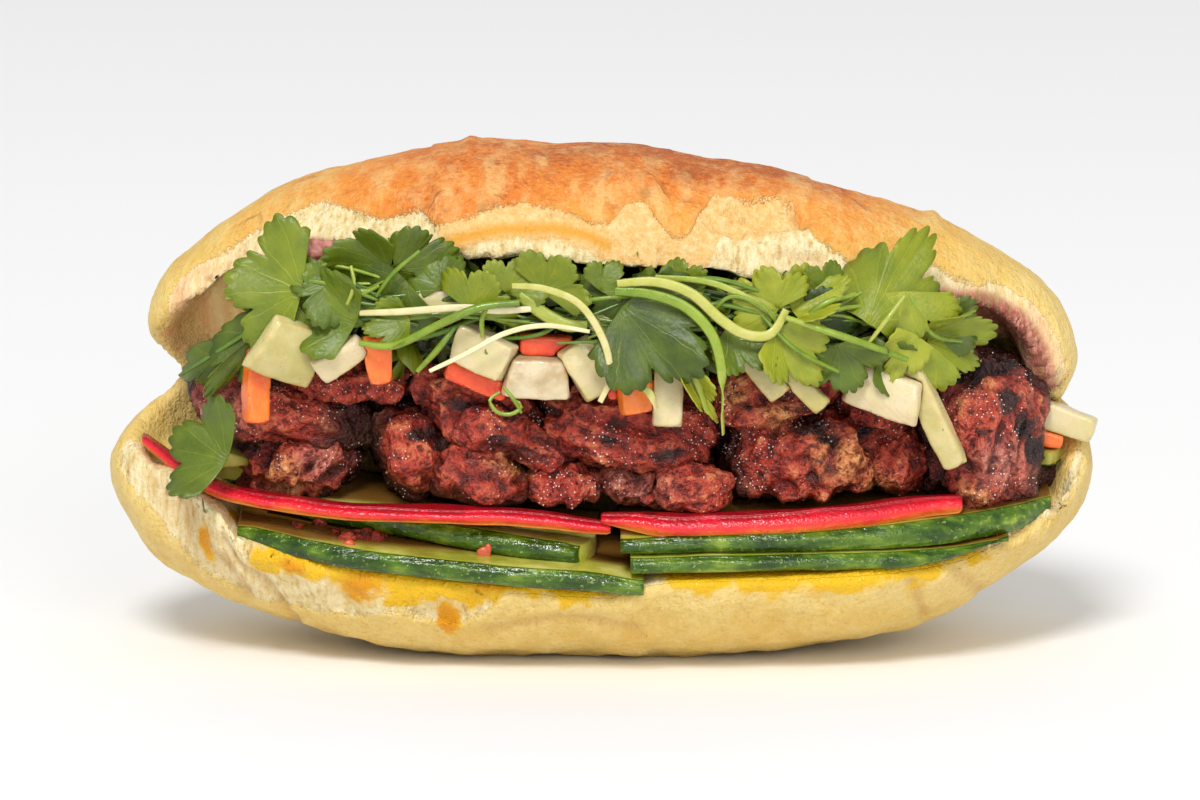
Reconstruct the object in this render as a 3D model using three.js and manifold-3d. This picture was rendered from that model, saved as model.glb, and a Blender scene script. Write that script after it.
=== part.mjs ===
// A short crusty roll, split along one long side and hinged at its back, filled from the bottom up
// with cucumber planks, red pepper strips, chunks of grilled pork, pickled radish and carrot, and a
// bunch of coriander. Millimetres. +Z is up, the open side faces -Y, the origin is the middle of the
// base, under the roll's centre.

import * as THREE from "three";
import { mergeVertices } from "three/addons/utils/BufferGeometryUtils.js";
import Module from "manifold-3d";

const wasm = await Module();
wasm.setup();

// ---------------------------------------------------------------- driving dimensions

const ROLL_HEIGHT = 103;
const BACK_WALL = 11; // bread left uncut behind the fillings
const GAP = 0.3; // clearance between pieces that touch
const SLIVER = 0.14; // detail finer than this is dropped from a cut edge
const SLICE = 5; // thickness of a cucumber plank and of a pepper strip
const DEGREE = Math.PI / 180;

// ---------------------------------------------------------------- making and joining solids

// Moves every vertex of a three.js geometry to where move(point) puts it.
function deformed(geometry, move) {
  const place = geometry.getAttribute("position");
  const point = new THREE.Vector3();
  for (let i = 0; i < place.count; i++) {
    move(point.fromBufferAttribute(place, i));
    place.setXYZ(i, point.x, point.y, point.z);
  }
  return geometry;
}

// A closed geometry as a solid that can be joined and cut.
function solidOf(geometry) {
  const bare = geometry.clone();
  bare.deleteAttribute("normal");
  bare.deleteAttribute("uv");
  const merged = mergeVertices(bare, 1e-4);
  return new wasm.Manifold(
    new wasm.Mesh({
      numProp: 3,
      vertProperties: new Float32Array(merged.getAttribute("position").array),
      triVerts: new Uint32Array(merged.index.array),
    }),
  );
}

// A solid as a geometry again.
function geometryOf(solid) {
  const { numProp, numVert, vertProperties, triVerts } = solid.getMesh();
  const place = new Float32Array(numVert * 3);
  for (let i = 0; i < numVert; i++) {
    place.set(vertProperties.subarray(i * numProp, i * numProp + 3), i * 3);
  }
  const geometry = new THREE.BufferGeometry();
  geometry.setAttribute("position", new THREE.BufferAttribute(place, 3));
  geometry.setIndex(new THREE.BufferAttribute(new Uint32Array(triVerts), 1));
  geometry.computeVertexNormals();
  return geometry;
}

// The largest of the bodies that a cut leaves, without the slivers along its edges.
const largest = (solid) =>
  solid
    .decompose()
    .reduce((best, body) => (body.volume() > best.volume() ? body : best))
    .simplify(SLIVER);

// A smooth bump between -1 and 1 that differs from place to place and from seed to seed.
const bump = ({ x, y, z }, seed) =>
  (Math.sin(2.1 * x + 1.7 * y + 3.1 * seed) +
    Math.sin(1.9 * y - 2.3 * z + 5.3 * seed) +
    Math.sin(2.2 * z + 1.3 * x + 7.7 * seed)) / 3;

// How far out a superellipse of that power reaches, as a share, at a share of the way along it.
const bulge = (share, power) =>
  Math.pow(Math.max(0, 1 - Math.pow(Math.min(1, Math.abs(share)), power)), 1 / power);

// ---------------------------------------------------------------- the roll

// Each half's middle, half length and half width, its height above and below the middle, how much it
// rises towards the right, and how blunt its ends are, where 2 is round.
const TOP = { at: [0.5, 2, 62], half: [92.5, 42], up: 38.4, down: 26, lean: -0.054, blunt: 2.05 };
const BOTTOM = { at: [-1, 0, 38], half: [98.6, 44], up: 24, down: 39, lean: 0, blunt: 2.7 };
const HINGE = { at: [-1, 9, 50], half: [84, 34], up: 22, down: 22, lean: 0, blunt: 2 };
const SQUARE = 2.3; // how squared off the roll is across, where 2 is round
const CREASE = 9; // how sharply its halves meet

// How deep inside a rounded loaf a point lies: 0 at its middle, 1 at its crust, more outside.
function depthIn({ at, half, up, down, lean, blunt }, { x, y, z }) {
  const along = Math.abs(x - at[0]) / half[0];
  const across = Math.abs(y - at[1]) / half[1];
  const rise = z - at[2] - lean * x;
  const high = Math.abs(rise) / (rise > 0 ? up : down);
  return along ** blunt + (across ** SQUARE + high ** SQUARE) ** (2 / SQUARE);
}

// Both halves and the hinge behind them as one loaf, blended where they meet.
function depthInRoll(point) {
  const blend = [TOP, BOTTOM, HINGE].map((loaf) => Math.exp(-CREASE * depthIn(loaf, point)));
  return -Math.log(blend[0] + blend[1] + blend[2]) / CREASE;
}

// The roll's crust, with a flat foot: a ball whose every point is moved out until it meets the crust.
function crust() {
  const ball = new THREE.SphereGeometry(1, 32, 28);
  ball.rotateZ(Math.PI / 2);
  const middle = new THREE.Vector3(0, 0, (TOP.at[2] + BOTTOM.at[2]) / 2);
  return solidOf(
    deformed(ball, (p) => {
      const uneven = 1 + 0.01 * bump(p.clone().multiplyScalar(1.8), 1);
      const way = p.clone().multiply(new THREE.Vector3(BOTTOM.half[0], BOTTOM.half[1], ROLL_HEIGHT / 2));
      let near = 0;
      let far = 2;
      for (let halving = 0; halving < 24; halving++) {
        const share = (near + far) / 2;
        const inside = depthInRoll(way.clone().multiplyScalar(share).add(middle)) < 1;
        if (inside) near = share;
        else far = share;
      }
      p.copy(way.multiplyScalar(near * uneven)).add(middle);
      p.z = Math.max(0, p.z);
    }),
  );
}

// How far forward the lips stand, and the heights of the upper and lower lip's edges, along X.
const lipFront = (x) => -41 * bulge(x / 98, 2.2);
function upperLip(x) {
  const right = 0.1 * Math.max(0, x - 30) + 17 * Math.max(0, (x - 40) / 50) ** 8;
  const left = 23 * Math.max(0, (-x - 50) / 42) ** 2.3;
  return Math.max(MOUTH.middle + 3, 83.4 - 0.06 * x - right - left);
}
function lowerLip(x) {
  const ends = x < 0 ? 24 * (x / 95) ** 4 : 3.9 * Math.min(1, x / 15) + 20 * (x / 96) ** 14;
  return Math.min(MOUTH.middle - 3, 17.4 + ends);
}

const MOUTH = { middle: 48, opens: -16, front: 46, power: 3, length: 210 };

// The space that the knife opens: a wedge with a round back, from beyond one end to beyond the other.
// It stays clear of the roll's own bread by the clearance given.
function mouth(clearance) {
  const wedge = new THREE.CylinderGeometry(1, 1, MOUTH.length, 18, 24);
  wedge.rotateZ(Math.PI / 2);
  return solidOf(
    deformed(wedge, (p) => {
      const back = TOP.half[1] * bulge(p.x / 98, 1.9) - BACK_WALL;
      const depth = p.y > 0 ? Math.max(5, back - MOUTH.opens) : MOUTH.front;
      const lip = p.z > 0 ? upperLip(p.x) - MOUTH.middle : MOUTH.middle - lowerLip(p.x);
      const height = lip / bulge((lipFront(p.x) - MOUTH.opens) / MOUTH.front, MOUTH.power);
      const corner = Math.abs(p.y) ** MOUTH.power + Math.abs(p.z) ** MOUTH.power;
      const round = corner < 1e-6 ? 0 : corner ** (-1 / MOUTH.power);
      p.y = MOUTH.opens + p.y * round * (depth - clearance);
      p.z = MOUTH.middle + p.z * round * (height - clearance);
    }),
  );
}

// ---------------------------------------------------------------- planks and strips

// A long flat piece that follows a curve along its front edge. Its back is raised by lean degrees,
// its front edge is round, and it narrows to the share tips of its thickness at its two ends.
function strip({ along, depth, thick, lean, tips }, grow) {
  const curve = new THREE.CatmullRomCurve3(along.map((p) => new THREE.Vector3(...p)));
  const bar = new THREE.BoxGeometry(1, 1, 1, 10, 2, 2);
  const back = new THREE.Vector3(0, Math.cos(lean * DEGREE), Math.sin(lean * DEGREE));
  const up = new THREE.Vector3(0, -back.z, back.y);
  return solidOf(
    deformed(bar, (p) => {
      const share = p.x + 0.5;
      const tip = p.x < 0 ? tips[0] : tips[1];
      const narrow = tip + (1 - tip) * bulge(2 * p.x, 6);
      const round = p.y < 0 ? 0.2 * thick * (2 * p.z) ** 2 : 0;
      const deep = (p.y + 0.5) * (depth * narrow + 2 * grow) - grow + round;
      const high = p.z * (thick * narrow + 2 * grow);
      p.copy(curve.getPoint(share)).addScaledVector(back, deep).addScaledVector(up, high);
      p.x += (share - 0.5) * 2 * grow;
    }),
  );
}

const CUCUMBER = { depth: 34, thick: SLICE, lean: 7 };
const cucumbers = {
  cucumber_left_low: {
    ...CUCUMBER,
    thick: SLICE - 0.6,
    along: [[-74.5, -27.5, 28], [-56, -36, 24.8], [-29, -41, 22.2], [3, -42, 19.8]],
    tips: [0.5, 0.95],
  },
  cucumber_left_high: {
    ...CUCUMBER,
    depth: 26,
    along: [[-69, -26, 30.6], [-53, -31.5, 29.8], [-30, -35.5, 27.6], [-1.5, -36.5, 25.2]],
    tips: [0.6, 0.95],
  },
  cucumber_right_low: {
    ...CUCUMBER,
    thick: SLICE - 1.4,
    along: [[4.5, -42, 23.6], [29, -41, 24], [50, -38, 23.8], [72, -31.5, 23.9], [81, -26, 25.4]],
    tips: [0.95, 0.4],
  },
  cucumber_right_high: {
    ...CUCUMBER,
    thick: SLICE - 0.6,
    along: [[2.5, -41, 27.4], [29, -40.5, 28.1], [50, -37.5, 28.1], [72, -30.5, 28.2], [92, -15, 30]],
    tips: [0.7, 0.45],
  },
};

const PEPPER = { depth: 12, thick: SLICE - 0.6, lean: 10 };
const peppers = {
  pepper_left: {
    ...PEPPER,
    along: [
      [-93, -11, 46], [-89, -18, 41.5], [-82, -24, 37.6], [-72, -29.5, 35.2],
      [-56, -35, 34], [-34, -38, 33.6], [-12, -39, 32.6], [-0.5, -39, 31],
    ],
    tips: [0.7, 0.8],
  },
  pepper_right: {
    ...PEPPER,
    along: [[0, -39.5, 33.4], [8, -39.5, 32], [23, -39, 31.6], [45, -36.5, 32.6], [70, -28.5, 34.6]],
    tips: [0.5, 0.8],
  },
};

// ---------------------------------------------------------------- chunks and cut pieces

// A lumpy chunk: a ball squared off, stretched to its size, made uneven and turned. Its turn is in
// degrees about X, Y and Z, where a turn about Y drops its right end.
function chunk({ at, size, turn, power = 2.8, seed, uneven = 0.1 }, grow) {
  const ball = new THREE.IcosahedronGeometry(1, size[0] > 30 ? 2 : 1);
  const facing = new THREE.Euler(...turn.map((angle) => angle * DEGREE));
  return solidOf(
    deformed(ball, (p) => {
      const reach = Math.pow(
        Math.abs(p.x) ** power + Math.abs(p.y) ** power + Math.abs(p.z) ** power,
        -1 / power,
      );
      const swell = reach * (1 + uneven * bump(p.clone().multiplyScalar(1.5), seed));
      p.set(
        p.x * swell * (size[0] / 2 + grow),
        p.y * swell * (size[1] / 2 + grow),
        p.z * swell * (size[2] / 2 + grow),
      );
      p.applyEuler(facing).add(new THREE.Vector3(...at));
    }),
  );
}

// A knife-cut piece: a box with cut corners, tapered towards its lower end and bowed.
function block({ at, size, turn, taper = 0, bow = 0 }, grow) {
  const box = new THREE.BoxGeometry(1, 1, 1, 3, 2, 3);
  const facing = new THREE.Euler(...turn.map((angle) => angle * DEGREE));
  return solidOf(
    deformed(box, (p) => {
      const corner = Math.abs(p.x * p.z * p.y) * 8;
      const cut = 1 - 0.1 * corner;
      const wide = 1 - taper * (0.5 - p.z);
      const bowed = bow * (1 - 4 * p.z * p.z);
      p.set(
        p.x * wide * cut * (size[0] + 2 * grow),
        p.y * cut * (size[1] + 2 * grow) - bowed,
        p.z * cut * (size[2] + 2 * grow),
      );
      p.applyEuler(facing).add(new THREE.Vector3(...at));
    }),
  );
}

const pork = {
  pork_end: { at: [77, -8, 45.2], size: [25, 40, 31], turn: [0, 12, -18], power: 3.6, seed: 1 },
  pork_front_crisp: { at: [17, -31, 38.2], size: [15, 11, 9], turn: [0, 4, 8], seed: 2, uneven: 0.16 },
  pork_mid_big: { at: [3.7, -12, 50.4], size: [39, 46, 18], turn: [0, 12, 4], seed: 3 },
  pork_mid_left: { at: [-20.7, -12, 49.4], size: [34, 46, 13], turn: [0, 21, 6], seed: 4 },
  pork_right_big: { at: [40, -10, 43.6], size: [34, 44, 18], turn: [0, 1, -6], power: 3.4, seed: 5 },
  pork_left_long: { at: [-63.2, -7, 52], size: [40, 38, 14], turn: [0, 6, 14], seed: 6 },
  pork_left_low: { at: [-63, -8, 40], size: [24, 36, 13], turn: [0, -6, 14], power: 3.2, seed: 7 },
  pork_slanted: { at: [-41, -12, 43.5], size: [11, 42, 18], turn: [0, -24, 8], seed: 8 },
  pork_low_middle: { at: [-28, -12, 41], size: [25, 46, 13.5], turn: [0, 16, 4], seed: 9 },
  pork_low_small: { at: [-9.2, -12, 38.4], size: [16, 42, 10], turn: [0, 4, 2], seed: 10 },
  pork_pink: { at: [9.8, -11, 38.2], size: [28, 42, 11.5], turn: [0, 5, 0], seed: 11 },
  pork_high_right: { at: [34, -12, 57.2], size: [29, 44, 14], turn: [0, -6, -6], seed: 12, uneven: 0.14 },
  pork_high_far: { at: [55.5, -10, 54], size: [20, 38, 12], turn: [0, 10, -8], seed: 13, uneven: 0.14 },
  pork_low_right: { at: [60, -8, 42.4], size: [13, 38, 14], turn: [0, 0, -8], seed: 14 },
  pork_back_right: { at: [67, -4, 60], size: [15, 32, 13], turn: [0, 20, -10], seed: 15 },
  pork_high_left: { at: [-51.5, -10, 59.5], size: [27, 40, 10.5], turn: [0, 5, 10], seed: 16 },
  pork_high_middle: { at: [-28, -9, 57.2], size: [32, 44, 11], turn: [0, 13, 4], seed: 17 },
};

const radish = {
  radish_flap: { at: [-63.6, -35.5, 66.6], size: [11, 4, 12.5], turn: [10, 26, 16], taper: -0.35, bow: 1 },
  radish_flap_tip: { at: [-53, -37, 65.4], size: [4.6, 4, 11], turn: [12, 58, 12], taper: -0.3 },
  radish_cube: { at: [-24.6, -38.5, 66.8], size: [12.5, 7, 8], turn: [4, 22, -14], taper: 0.1 },
  radish_block: { at: [-13.9, -38.5, 61.8], size: [11, 6, 8.2], turn: [6, 4, 4], taper: -0.25 },
  radish_wedge: { at: [-3.9, -38.8, 63.6], size: [7.5, 5.5, 11.5], turn: [2, -32, 10], bow: 0.8 },
  radish_plank: { at: [12.1, -39.4, 58], size: [5.8, 4, 12], turn: [-6, 2, 0] },
  radish_slant: { at: [30.6, -38, 63.3], size: [5.6, 4, 13.5], turn: [0, -36, -4], taper: 0.15 },
  radish_slant_end: { at: [37.3, -37.5, 61.2], size: [3.9, 3.6, 16.5], turn: [4, -44, -6] },
  radish_round: { at: [55.5, -35.8, 58], size: [12.5, 4.5, 9], turn: [6, 18, -12], taper: -0.3, bow: 0.8 },
  radish_stick: { at: [64.8, -33.6, 53.4], size: [4.8, 4.4, 24], turn: [6, -25, -14] },
  radish_end_bar: { at: [85, -8, 50.4], size: [5.4, 6.5, 30], turn: [0, -70, 0], bow: 0 },
  radish_deep: { at: [-33.4, -32, 77.6], size: [9.5, 14, 4.8], turn: [6, 6, 0] },
  onion_stalk: { at: [2.8, -40, 69.2], size: [4.8, 3, 14], turn: [0, -47, 0], taper: 0.2, bow: 0.6 },
};

const carrot = {
  carrot_stick: { at: [-69.8, -31.6, 59], size: [4.8, 4.6, 15.6], turn: [-4, 2, 24], bow: -0.8 },
  carrot_round: { at: [-45.5, -36.6, 65], size: [6.6, 5, 9.6], turn: [0, -6, 6], taper: 0.35 },
  carrot_slab: { at: [-25.8, -36, 61], size: [13, 5, 4.2], turn: [6, 22, -4] },
  carrot_behind: { at: [-12.2, -36.4, 67.6], size: [10.5, 6, 4.6], turn: [0, 4, 4] },
  carrot_block: { at: [5.6, -39, 59.6], size: [6.4, 5.5, 10], turn: [-4, -8, 12], taper: -0.1 },
  carrot_sliver: { at: [1.5, -36.4, 61.6], size: [3, 5, 9], turn: [0, -4, 0] },
  carrot_hidden: { at: [41.5, -35, 63.4], size: [7, 4, 4.4], turn: [0, 30, -8] },
  carrot_end: { at: [90.2, -7, 44.2], size: [5, 8, 4], turn: [0, 10, 0] },
};

const greens = {
  cucumber_chip: { at: [-79, -15, 40.6], size: [9, 12, 7], turn: [0, 24, 30] },
  cucumber_end_chip: { at: [88.6, -6, 40.2], size: [7, 10, 3.4], turn: [0, 6, -20] },
};

// ---------------------------------------------------------------- the bunch of coriander

const HERBS = { middle: 3, half: 79, back: 14, floor: 62, ceiling: 88 };

// The bunch fills the top of the mouth from end to end, with an uneven front and underside.
function herbs() {
  const { middle, half, back, floor, ceiling } = HERBS;
  const heap = new THREE.SphereGeometry(1, 10, 20);
  heap.rotateZ(Math.PI / 2);
  return solidOf(
    deformed(heap, (p) => {
      const x = middle + half * p.x;
      const corner = Math.abs(p.y) ** 4 + Math.abs(p.z) ** 4;
      const round = corner < 1e-6 ? 0 : corner ** (-1 / 4) * bulge(p.x, 3.5);
      const wave = bump({ x: 0.09 * x, y: 1.5 * p.y, z: 1.5 * p.z }, 4);
      const front = lipFront(x) + 3 + 1.6 * wave;
      const low = floor + 2.4 * wave + 8 * Math.abs(p.x) ** 3;
      const deep = (back - front) / 2;
      const high = (Math.min(ceiling, upperLip(x) - 1) - low) / 2;
      p.set(x, front + deep * (1 + p.y * round), low + high * (1 + p.z * round));
    }),
  );
}

// ---------------------------------------------------------------- putting it together

const FINISH = {
  bread: { color: 0xe2a15d, roughness: 0.8, metalness: 0 },
  cucumber: { color: 0x3c6a1e, roughness: 0.25, metalness: 0 },
  pepper: { color: 0xdc2f30, roughness: 0.2, metalness: 0 },
  pork: { color: 0x8f4a3a, roughness: 0.35, metalness: 0 },
  radish: { color: 0xe3d6a0, roughness: 0.3, metalness: 0 },
  carrot: { color: 0xf07030, roughness: 0.35, metalness: 0 },
  coriander: { color: 0x4f7a20, roughness: 0.45, metalness: 0 },
};

const sandwich = new THREE.Group();
sandwich.name = "banh_mi";
const room = mouth(GAP);
let taken = null; // everything placed so far, swollen by the clearance

function place(name, solid, finish) {
  const material = new THREE.MeshStandardMaterial(FINISH[finish]);
  const mesh = new THREE.Mesh(geometryOf(solid), material);
  mesh.name = name;
  sandwich.add(mesh);
}

// Each piece is held inside the mouth and gives way to the pieces placed before it.
function fill(pieces, make, finish) {
  for (const [name, piece] of Object.entries(pieces)) {
    const held = make(piece, 0).intersect(room);
    place(name, largest(taken ? held.subtract(taken) : held), finish);
    const swollen = make(piece, GAP);
    taken = taken ? taken.add(swollen) : swollen;
  }
}

place("roll", largest(crust().subtract(mouth(0))), "bread");
fill(peppers, strip, "pepper");
fill(cucumbers, strip, "cucumber");
fill(radish, block, "radish");
fill(carrot, block, "carrot");
fill(greens, block, "cucumber");
fill(pork, chunk, "pork");
place("coriander", largest(herbs().intersect(room).subtract(taken)), "coriander");

export default sandwich;
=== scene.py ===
import math

import bmesh
import bpy
import numpy as np
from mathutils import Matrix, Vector
from mathutils.bvhtree import BVHTree


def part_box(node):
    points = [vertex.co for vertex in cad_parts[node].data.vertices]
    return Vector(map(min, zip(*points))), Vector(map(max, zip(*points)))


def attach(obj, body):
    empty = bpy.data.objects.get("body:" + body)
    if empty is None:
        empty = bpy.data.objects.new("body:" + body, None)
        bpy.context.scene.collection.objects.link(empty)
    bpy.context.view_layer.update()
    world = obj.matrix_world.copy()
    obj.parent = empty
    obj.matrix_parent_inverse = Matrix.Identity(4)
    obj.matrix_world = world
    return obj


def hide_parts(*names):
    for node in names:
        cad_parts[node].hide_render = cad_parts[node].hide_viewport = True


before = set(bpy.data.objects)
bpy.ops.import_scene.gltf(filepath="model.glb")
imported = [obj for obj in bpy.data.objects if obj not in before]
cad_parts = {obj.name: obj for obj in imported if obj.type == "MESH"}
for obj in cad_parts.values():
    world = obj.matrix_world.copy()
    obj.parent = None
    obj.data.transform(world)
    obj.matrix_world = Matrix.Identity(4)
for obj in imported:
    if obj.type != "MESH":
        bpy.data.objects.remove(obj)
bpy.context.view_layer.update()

# ---------------------------------------------------------------- the roll
# A short baguette of wheat dough, baked in a steamy oven: a thin brittle crust, golden brown on top and
# pale and floury below, over a soft cream crumb. A knife has opened it along one side, and its lips are
# torn, so the crumb shows there below a ragged edge of crust.

ROLL_LENGTH = 197.0  # mm
ROLL_LOW, ROLL_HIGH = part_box("roll")
MM = (ROLL_HIGH.x - ROLL_LOW.x) / ROLL_LENGTH  # a millimetre of the frame
PER_MM = 1 / MM

# Its shape is three rounded loaves run together: the top, the bottom and the hinge behind. Each has its
# middle, half its length and depth, its reach up and down, its lean along X and how blunt its ends are.
TOP = {"at": (0.5, 2, 62), "half": (92.5, 42), "up": 38.4, "down": 26, "lean": -0.054, "blunt": 2.05}
BOTTOM = {"at": (-1, 0, 38), "half": (98.6, 44), "up": 24, "down": 39, "lean": 0, "blunt": 2.7}
HINGE = {"at": (-1, 9, 50), "half": (84, 34), "up": 22, "down": 22, "lean": 0, "blunt": 2}
SQUARE = 2.3  # how square their cross-sections are: 2 is an ellipse
CREASE = 9  # how sharply one meets the next
CRUST_SCALE = 20  # mm from the crust for each unit of depth, near the crust
LIP_LENGTH = 98  # mm, from the middle of the lips to their end
LIP_REACH = 41  # mm, how far forward the lips stand in the middle
LIP_BLUNT = 1.6  # mm, over which the lips are rounded off
BACK_WALL = 11  # mm of bread behind the cut
# The cut: the height and depth where it is widest, its reach forward from there, and how square it is.
MOUTH = {"middle": 48, "opens": -16, "front": 46, "power": 3}


def lattice(cells, seed):
    """A fixed value from 0 to 1 for each whole-number cell of space."""
    mixed = cells[:, 0] * 374761393 + cells[:, 1] * 668265263 + cells[:, 2] * 1274126177 + seed * 144665
    mixed = mixed & 0xFFFFFFFF
    mixed = ((mixed ^ (mixed >> 13)) * 1274126177) & 0xFFFFFFFF
    return ((mixed ^ (mixed >> 16)) & 0xFFFF) / 65535.0


def noise(points, size, seed=0, octaves=2):
    """Smooth noise about 0, mostly within 1, whose largest bumps are size apart. Points in mm."""
    total = np.zeros(len(points))
    for octave in range(octaves):
        place = points * (2.0**octave) / size + 31.7 * seed
        cell = np.floor(place).astype(np.int64)
        part = place - cell
        part = part * part * (3 - 2 * part)
        for dx in (0, 1):
            for dy in (0, 1):
                for dz in (0, 1):
                    share = np.abs((1 - dx, 1 - dy, 1 - dz) - part).prod(1)
                    total += share * (2 * lattice(cell + (dx, dy, dz), seed + octave) - 1) * 0.55**octave
    return total


def step(value, low, high):
    """0 below low, 1 above high, and smooth between."""
    part = np.clip((value - low) / (high - low), 0, 1)
    return part * part * (3 - 2 * part)


def bulge(share, power):
    """How far out a superellipse reaches, as a share, at a share of the way along it."""
    return np.clip(1 - np.clip(np.abs(share), 0, 1) ** power, 0, 1) ** (1 / power)


def lip_front(x):
    """How far forward the lips stand along the roll."""
    return -LIP_REACH * bulge(x / LIP_LENGTH, 2.2)


def upper_lip(x):
    """How high the upper lip is along the roll: it turns down at both ends."""
    right = 0.1 * np.clip(x - 30, 0, None) + 17 * np.clip((x - 40) / 50, 0, None) ** 8
    left = 23 * np.clip((-x - 50) / 42, 0, None) ** 2.3
    return np.maximum(MOUTH["middle"] + 3, 83.4 - 0.06 * x - right - left)


def lower_lip(x):
    """How high the lower lip is along the roll: it turns up at both ends."""
    left = 24 * (x / 95) ** 4
    right = 3.9 * np.clip(x / 15, 0, 1) + 20 * (np.abs(x) / 96) ** 14
    return np.minimum(MOUTH["middle"] - 3, 17.4 + np.where(x < 0, left, right))


def depth_in(loaf, x, y, z):
    """How deep inside a rounded loaf a point lies: 0 at its middle, 1 at its crust."""
    along = np.abs(x - loaf["at"][0]) / loaf["half"][0]
    across = np.abs(y - loaf["at"][1]) / loaf["half"][1]
    rise = z - loaf["at"][2] - loaf["lean"] * x
    high = np.abs(rise) / np.where(rise > 0, loaf["up"], loaf["down"])
    return along ** loaf["blunt"] + (across**SQUARE + high**SQUARE) ** (2 / SQUARE)


def outside_crust(x, y, z):
    """About how many mm outside the uncut roll a point lies."""
    blend = sum(np.exp(-CREASE * depth_in(loaf, x, y, z)) for loaf in (TOP, BOTTOM, HINGE))
    return (-np.log(blend) / CREASE - 1) * CRUST_SCALE


def outside_mouth(x, y, z):
    """About how many mm outside the cut a point lies, so less than 0 between the lips."""
    back = TOP["half"][1] * bulge(x / LIP_LENGTH, 1.9) - BACK_WALL
    depth = np.where(y > MOUTH["opens"], np.maximum(5, back - MOUTH["opens"]), MOUTH["front"])
    rise = np.where(z > MOUTH["middle"], upper_lip(x) - MOUTH["middle"], MOUTH["middle"] - lower_lip(x))
    height = rise / bulge((lip_front(x) - MOUTH["opens"]) / MOUTH["front"], MOUTH["power"])
    across = np.abs(y - MOUTH["opens"]) / depth
    high = np.abs(z - MOUTH["middle"]) / height
    reach = (across ** MOUTH["power"] + high ** MOUTH["power"]) ** (1 / MOUTH["power"])
    return (reach - 1) * np.minimum(depth, height)


def roll_field(x, y, z):
    """Less than 0 in the bread: inside the roll and outside the cut, with blunt lips and a flat foot."""
    crust = outside_crust(x, y, z)
    cut = -outside_mouth(x, y, z)
    overlap = np.clip(LIP_BLUNT - np.abs(crust - cut), 0, None) / LIP_BLUNT
    opened = np.maximum(crust, cut) + overlap**2 * LIP_BLUNT / 4
    return np.maximum(opened, -z)


def skin_of(field, axes):
    """Points and quads of the surface where a field on a grid passes 0, facing the side above 0."""
    inside = field < 0
    corner = [(i, j, k) for i in (0, 1) for j in (0, 1) for k in (0, 1)]
    shape = [n - 1 for n in field.shape]

    def at(values, offset):
        """A grid's values at one corner of every cell."""
        return values[tuple(slice(o, o + n) for o, n in zip(offset, shape))]

    count = sum(at(inside, c).astype(np.int8) for c in corner)
    cells = np.argwhere((count > 0) & (count < 8))
    index = np.full(shape, -1, np.int64)
    index[tuple(cells.T)] = np.arange(len(cells))
    place = np.zeros((len(cells), 3))
    hits = np.zeros(len(cells))
    for a in corner:
        for b in corner:
            if sum(b) - sum(a) == 1 and all(q >= p for p, q in zip(a, b)):
                low = field[tuple((cells + a).T)]
                high = field[tuple((cells + b).T)]
                crossed = (low < 0) != (high < 0)
                share = low[crossed] / (low[crossed] - high[crossed])
                place[crossed] += np.array(a) + np.outer(share, np.subtract(b, a))
                hits[crossed] += 1
    place = place / hits[:, None] + cells
    points = np.stack([np.interp(place[:, n], np.arange(len(axes[n])), axes[n]) for n in range(3)], 1)
    quads = []
    for axis in range(3):
        one, two = [n for n in range(3) if n != axis]
        low = [slice(1, -1)] * 3
        low[axis] = slice(0, -1)
        high = list(low)
        high[axis] = slice(1, None)
        starts = inside[tuple(low)]
        edge = np.argwhere(starts != inside[tuple(high)])
        outward = starts[tuple(edge.T)]
        edge[:, one] += 1
        edge[:, two] += 1
        ring = []
        for p, q in ((-1, -1), (0, -1), (0, 0), (-1, 0)):
            cell = edge.copy()
            cell[:, one] += p
            cell[:, two] += q
            ring.append(index[tuple(cell.T)])
        ring = np.stack(ring, 1)
        turned = outward if axis != 1 else ~outward
        ring[~turned] = ring[~turned][:, ::-1]
        quads.append(ring)
    return points, np.concatenate(quads)


def placed(name, data):
    """A new object of a mesh, a light or a camera, in the scene."""
    made = bpy.data.objects.new(name, data)
    bpy.context.scene.collection.objects.link(made)
    return made


def new_piece(name, points, faces):
    """A smooth-shaded mesh object from points in mm and rows of point numbers."""
    mesh = bpy.data.meshes.new(name)
    mesh.from_pydata((np.asarray(points) * MM).tolist(), [], [list(map(int, face)) for face in faces])
    mesh.polygons.foreach_set("use_smooth", [True] * len(mesh.polygons))
    mesh.update()
    return placed(name, mesh)


def points_of(piece):
    """Where a piece's points are, in mm."""
    out = np.zeros(len(piece.data.vertices) * 3)
    piece.data.vertices.foreach_get("co", out)
    return out.reshape(-1, 3) / MM


def normals_of(piece):
    """Which way is out of a piece at each of its points."""
    out = np.zeros(len(piece.data.vertices) * 3)
    piece.data.vertex_normals.foreach_get("vector", out)
    return out.reshape(-1, 3)


def move_points(piece, points):
    """Puts a piece's points in new places, in mm."""
    piece.data.vertices.foreach_set("co", (points * MM).ravel())
    piece.data.update()


def paint(piece, name, values):
    """Keeps a value for each point of a piece, or one for them all, for its material to read."""
    layer = piece.data.attributes.new(name, "FLOAT", "POINT")
    layer.data.foreach_set("value", np.full(len(piece.data.vertices), values, np.float32))


def grid_axis(low, high, fine, coarse, turn):
    """Places along an axis, fine apart up to the turn and coarse after it."""
    first = np.arange(low, turn, fine)
    return np.concatenate([first, np.arange(first[-1] + fine, high + coarse, coarse)])


# Places on the open side are given on a board that leans back by this slope, through this Y at its foot.
SLOPE = math.radians(10)
BOARD_FOOT = -15


def face_on(points):
    """Where each point lies along and up the board, in mm."""
    return points[:, 0], math.cos(SLOPE) * points[:, 2] + math.sin(SLOPE) * (points[:, 1] - BOARD_FOOT)


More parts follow.
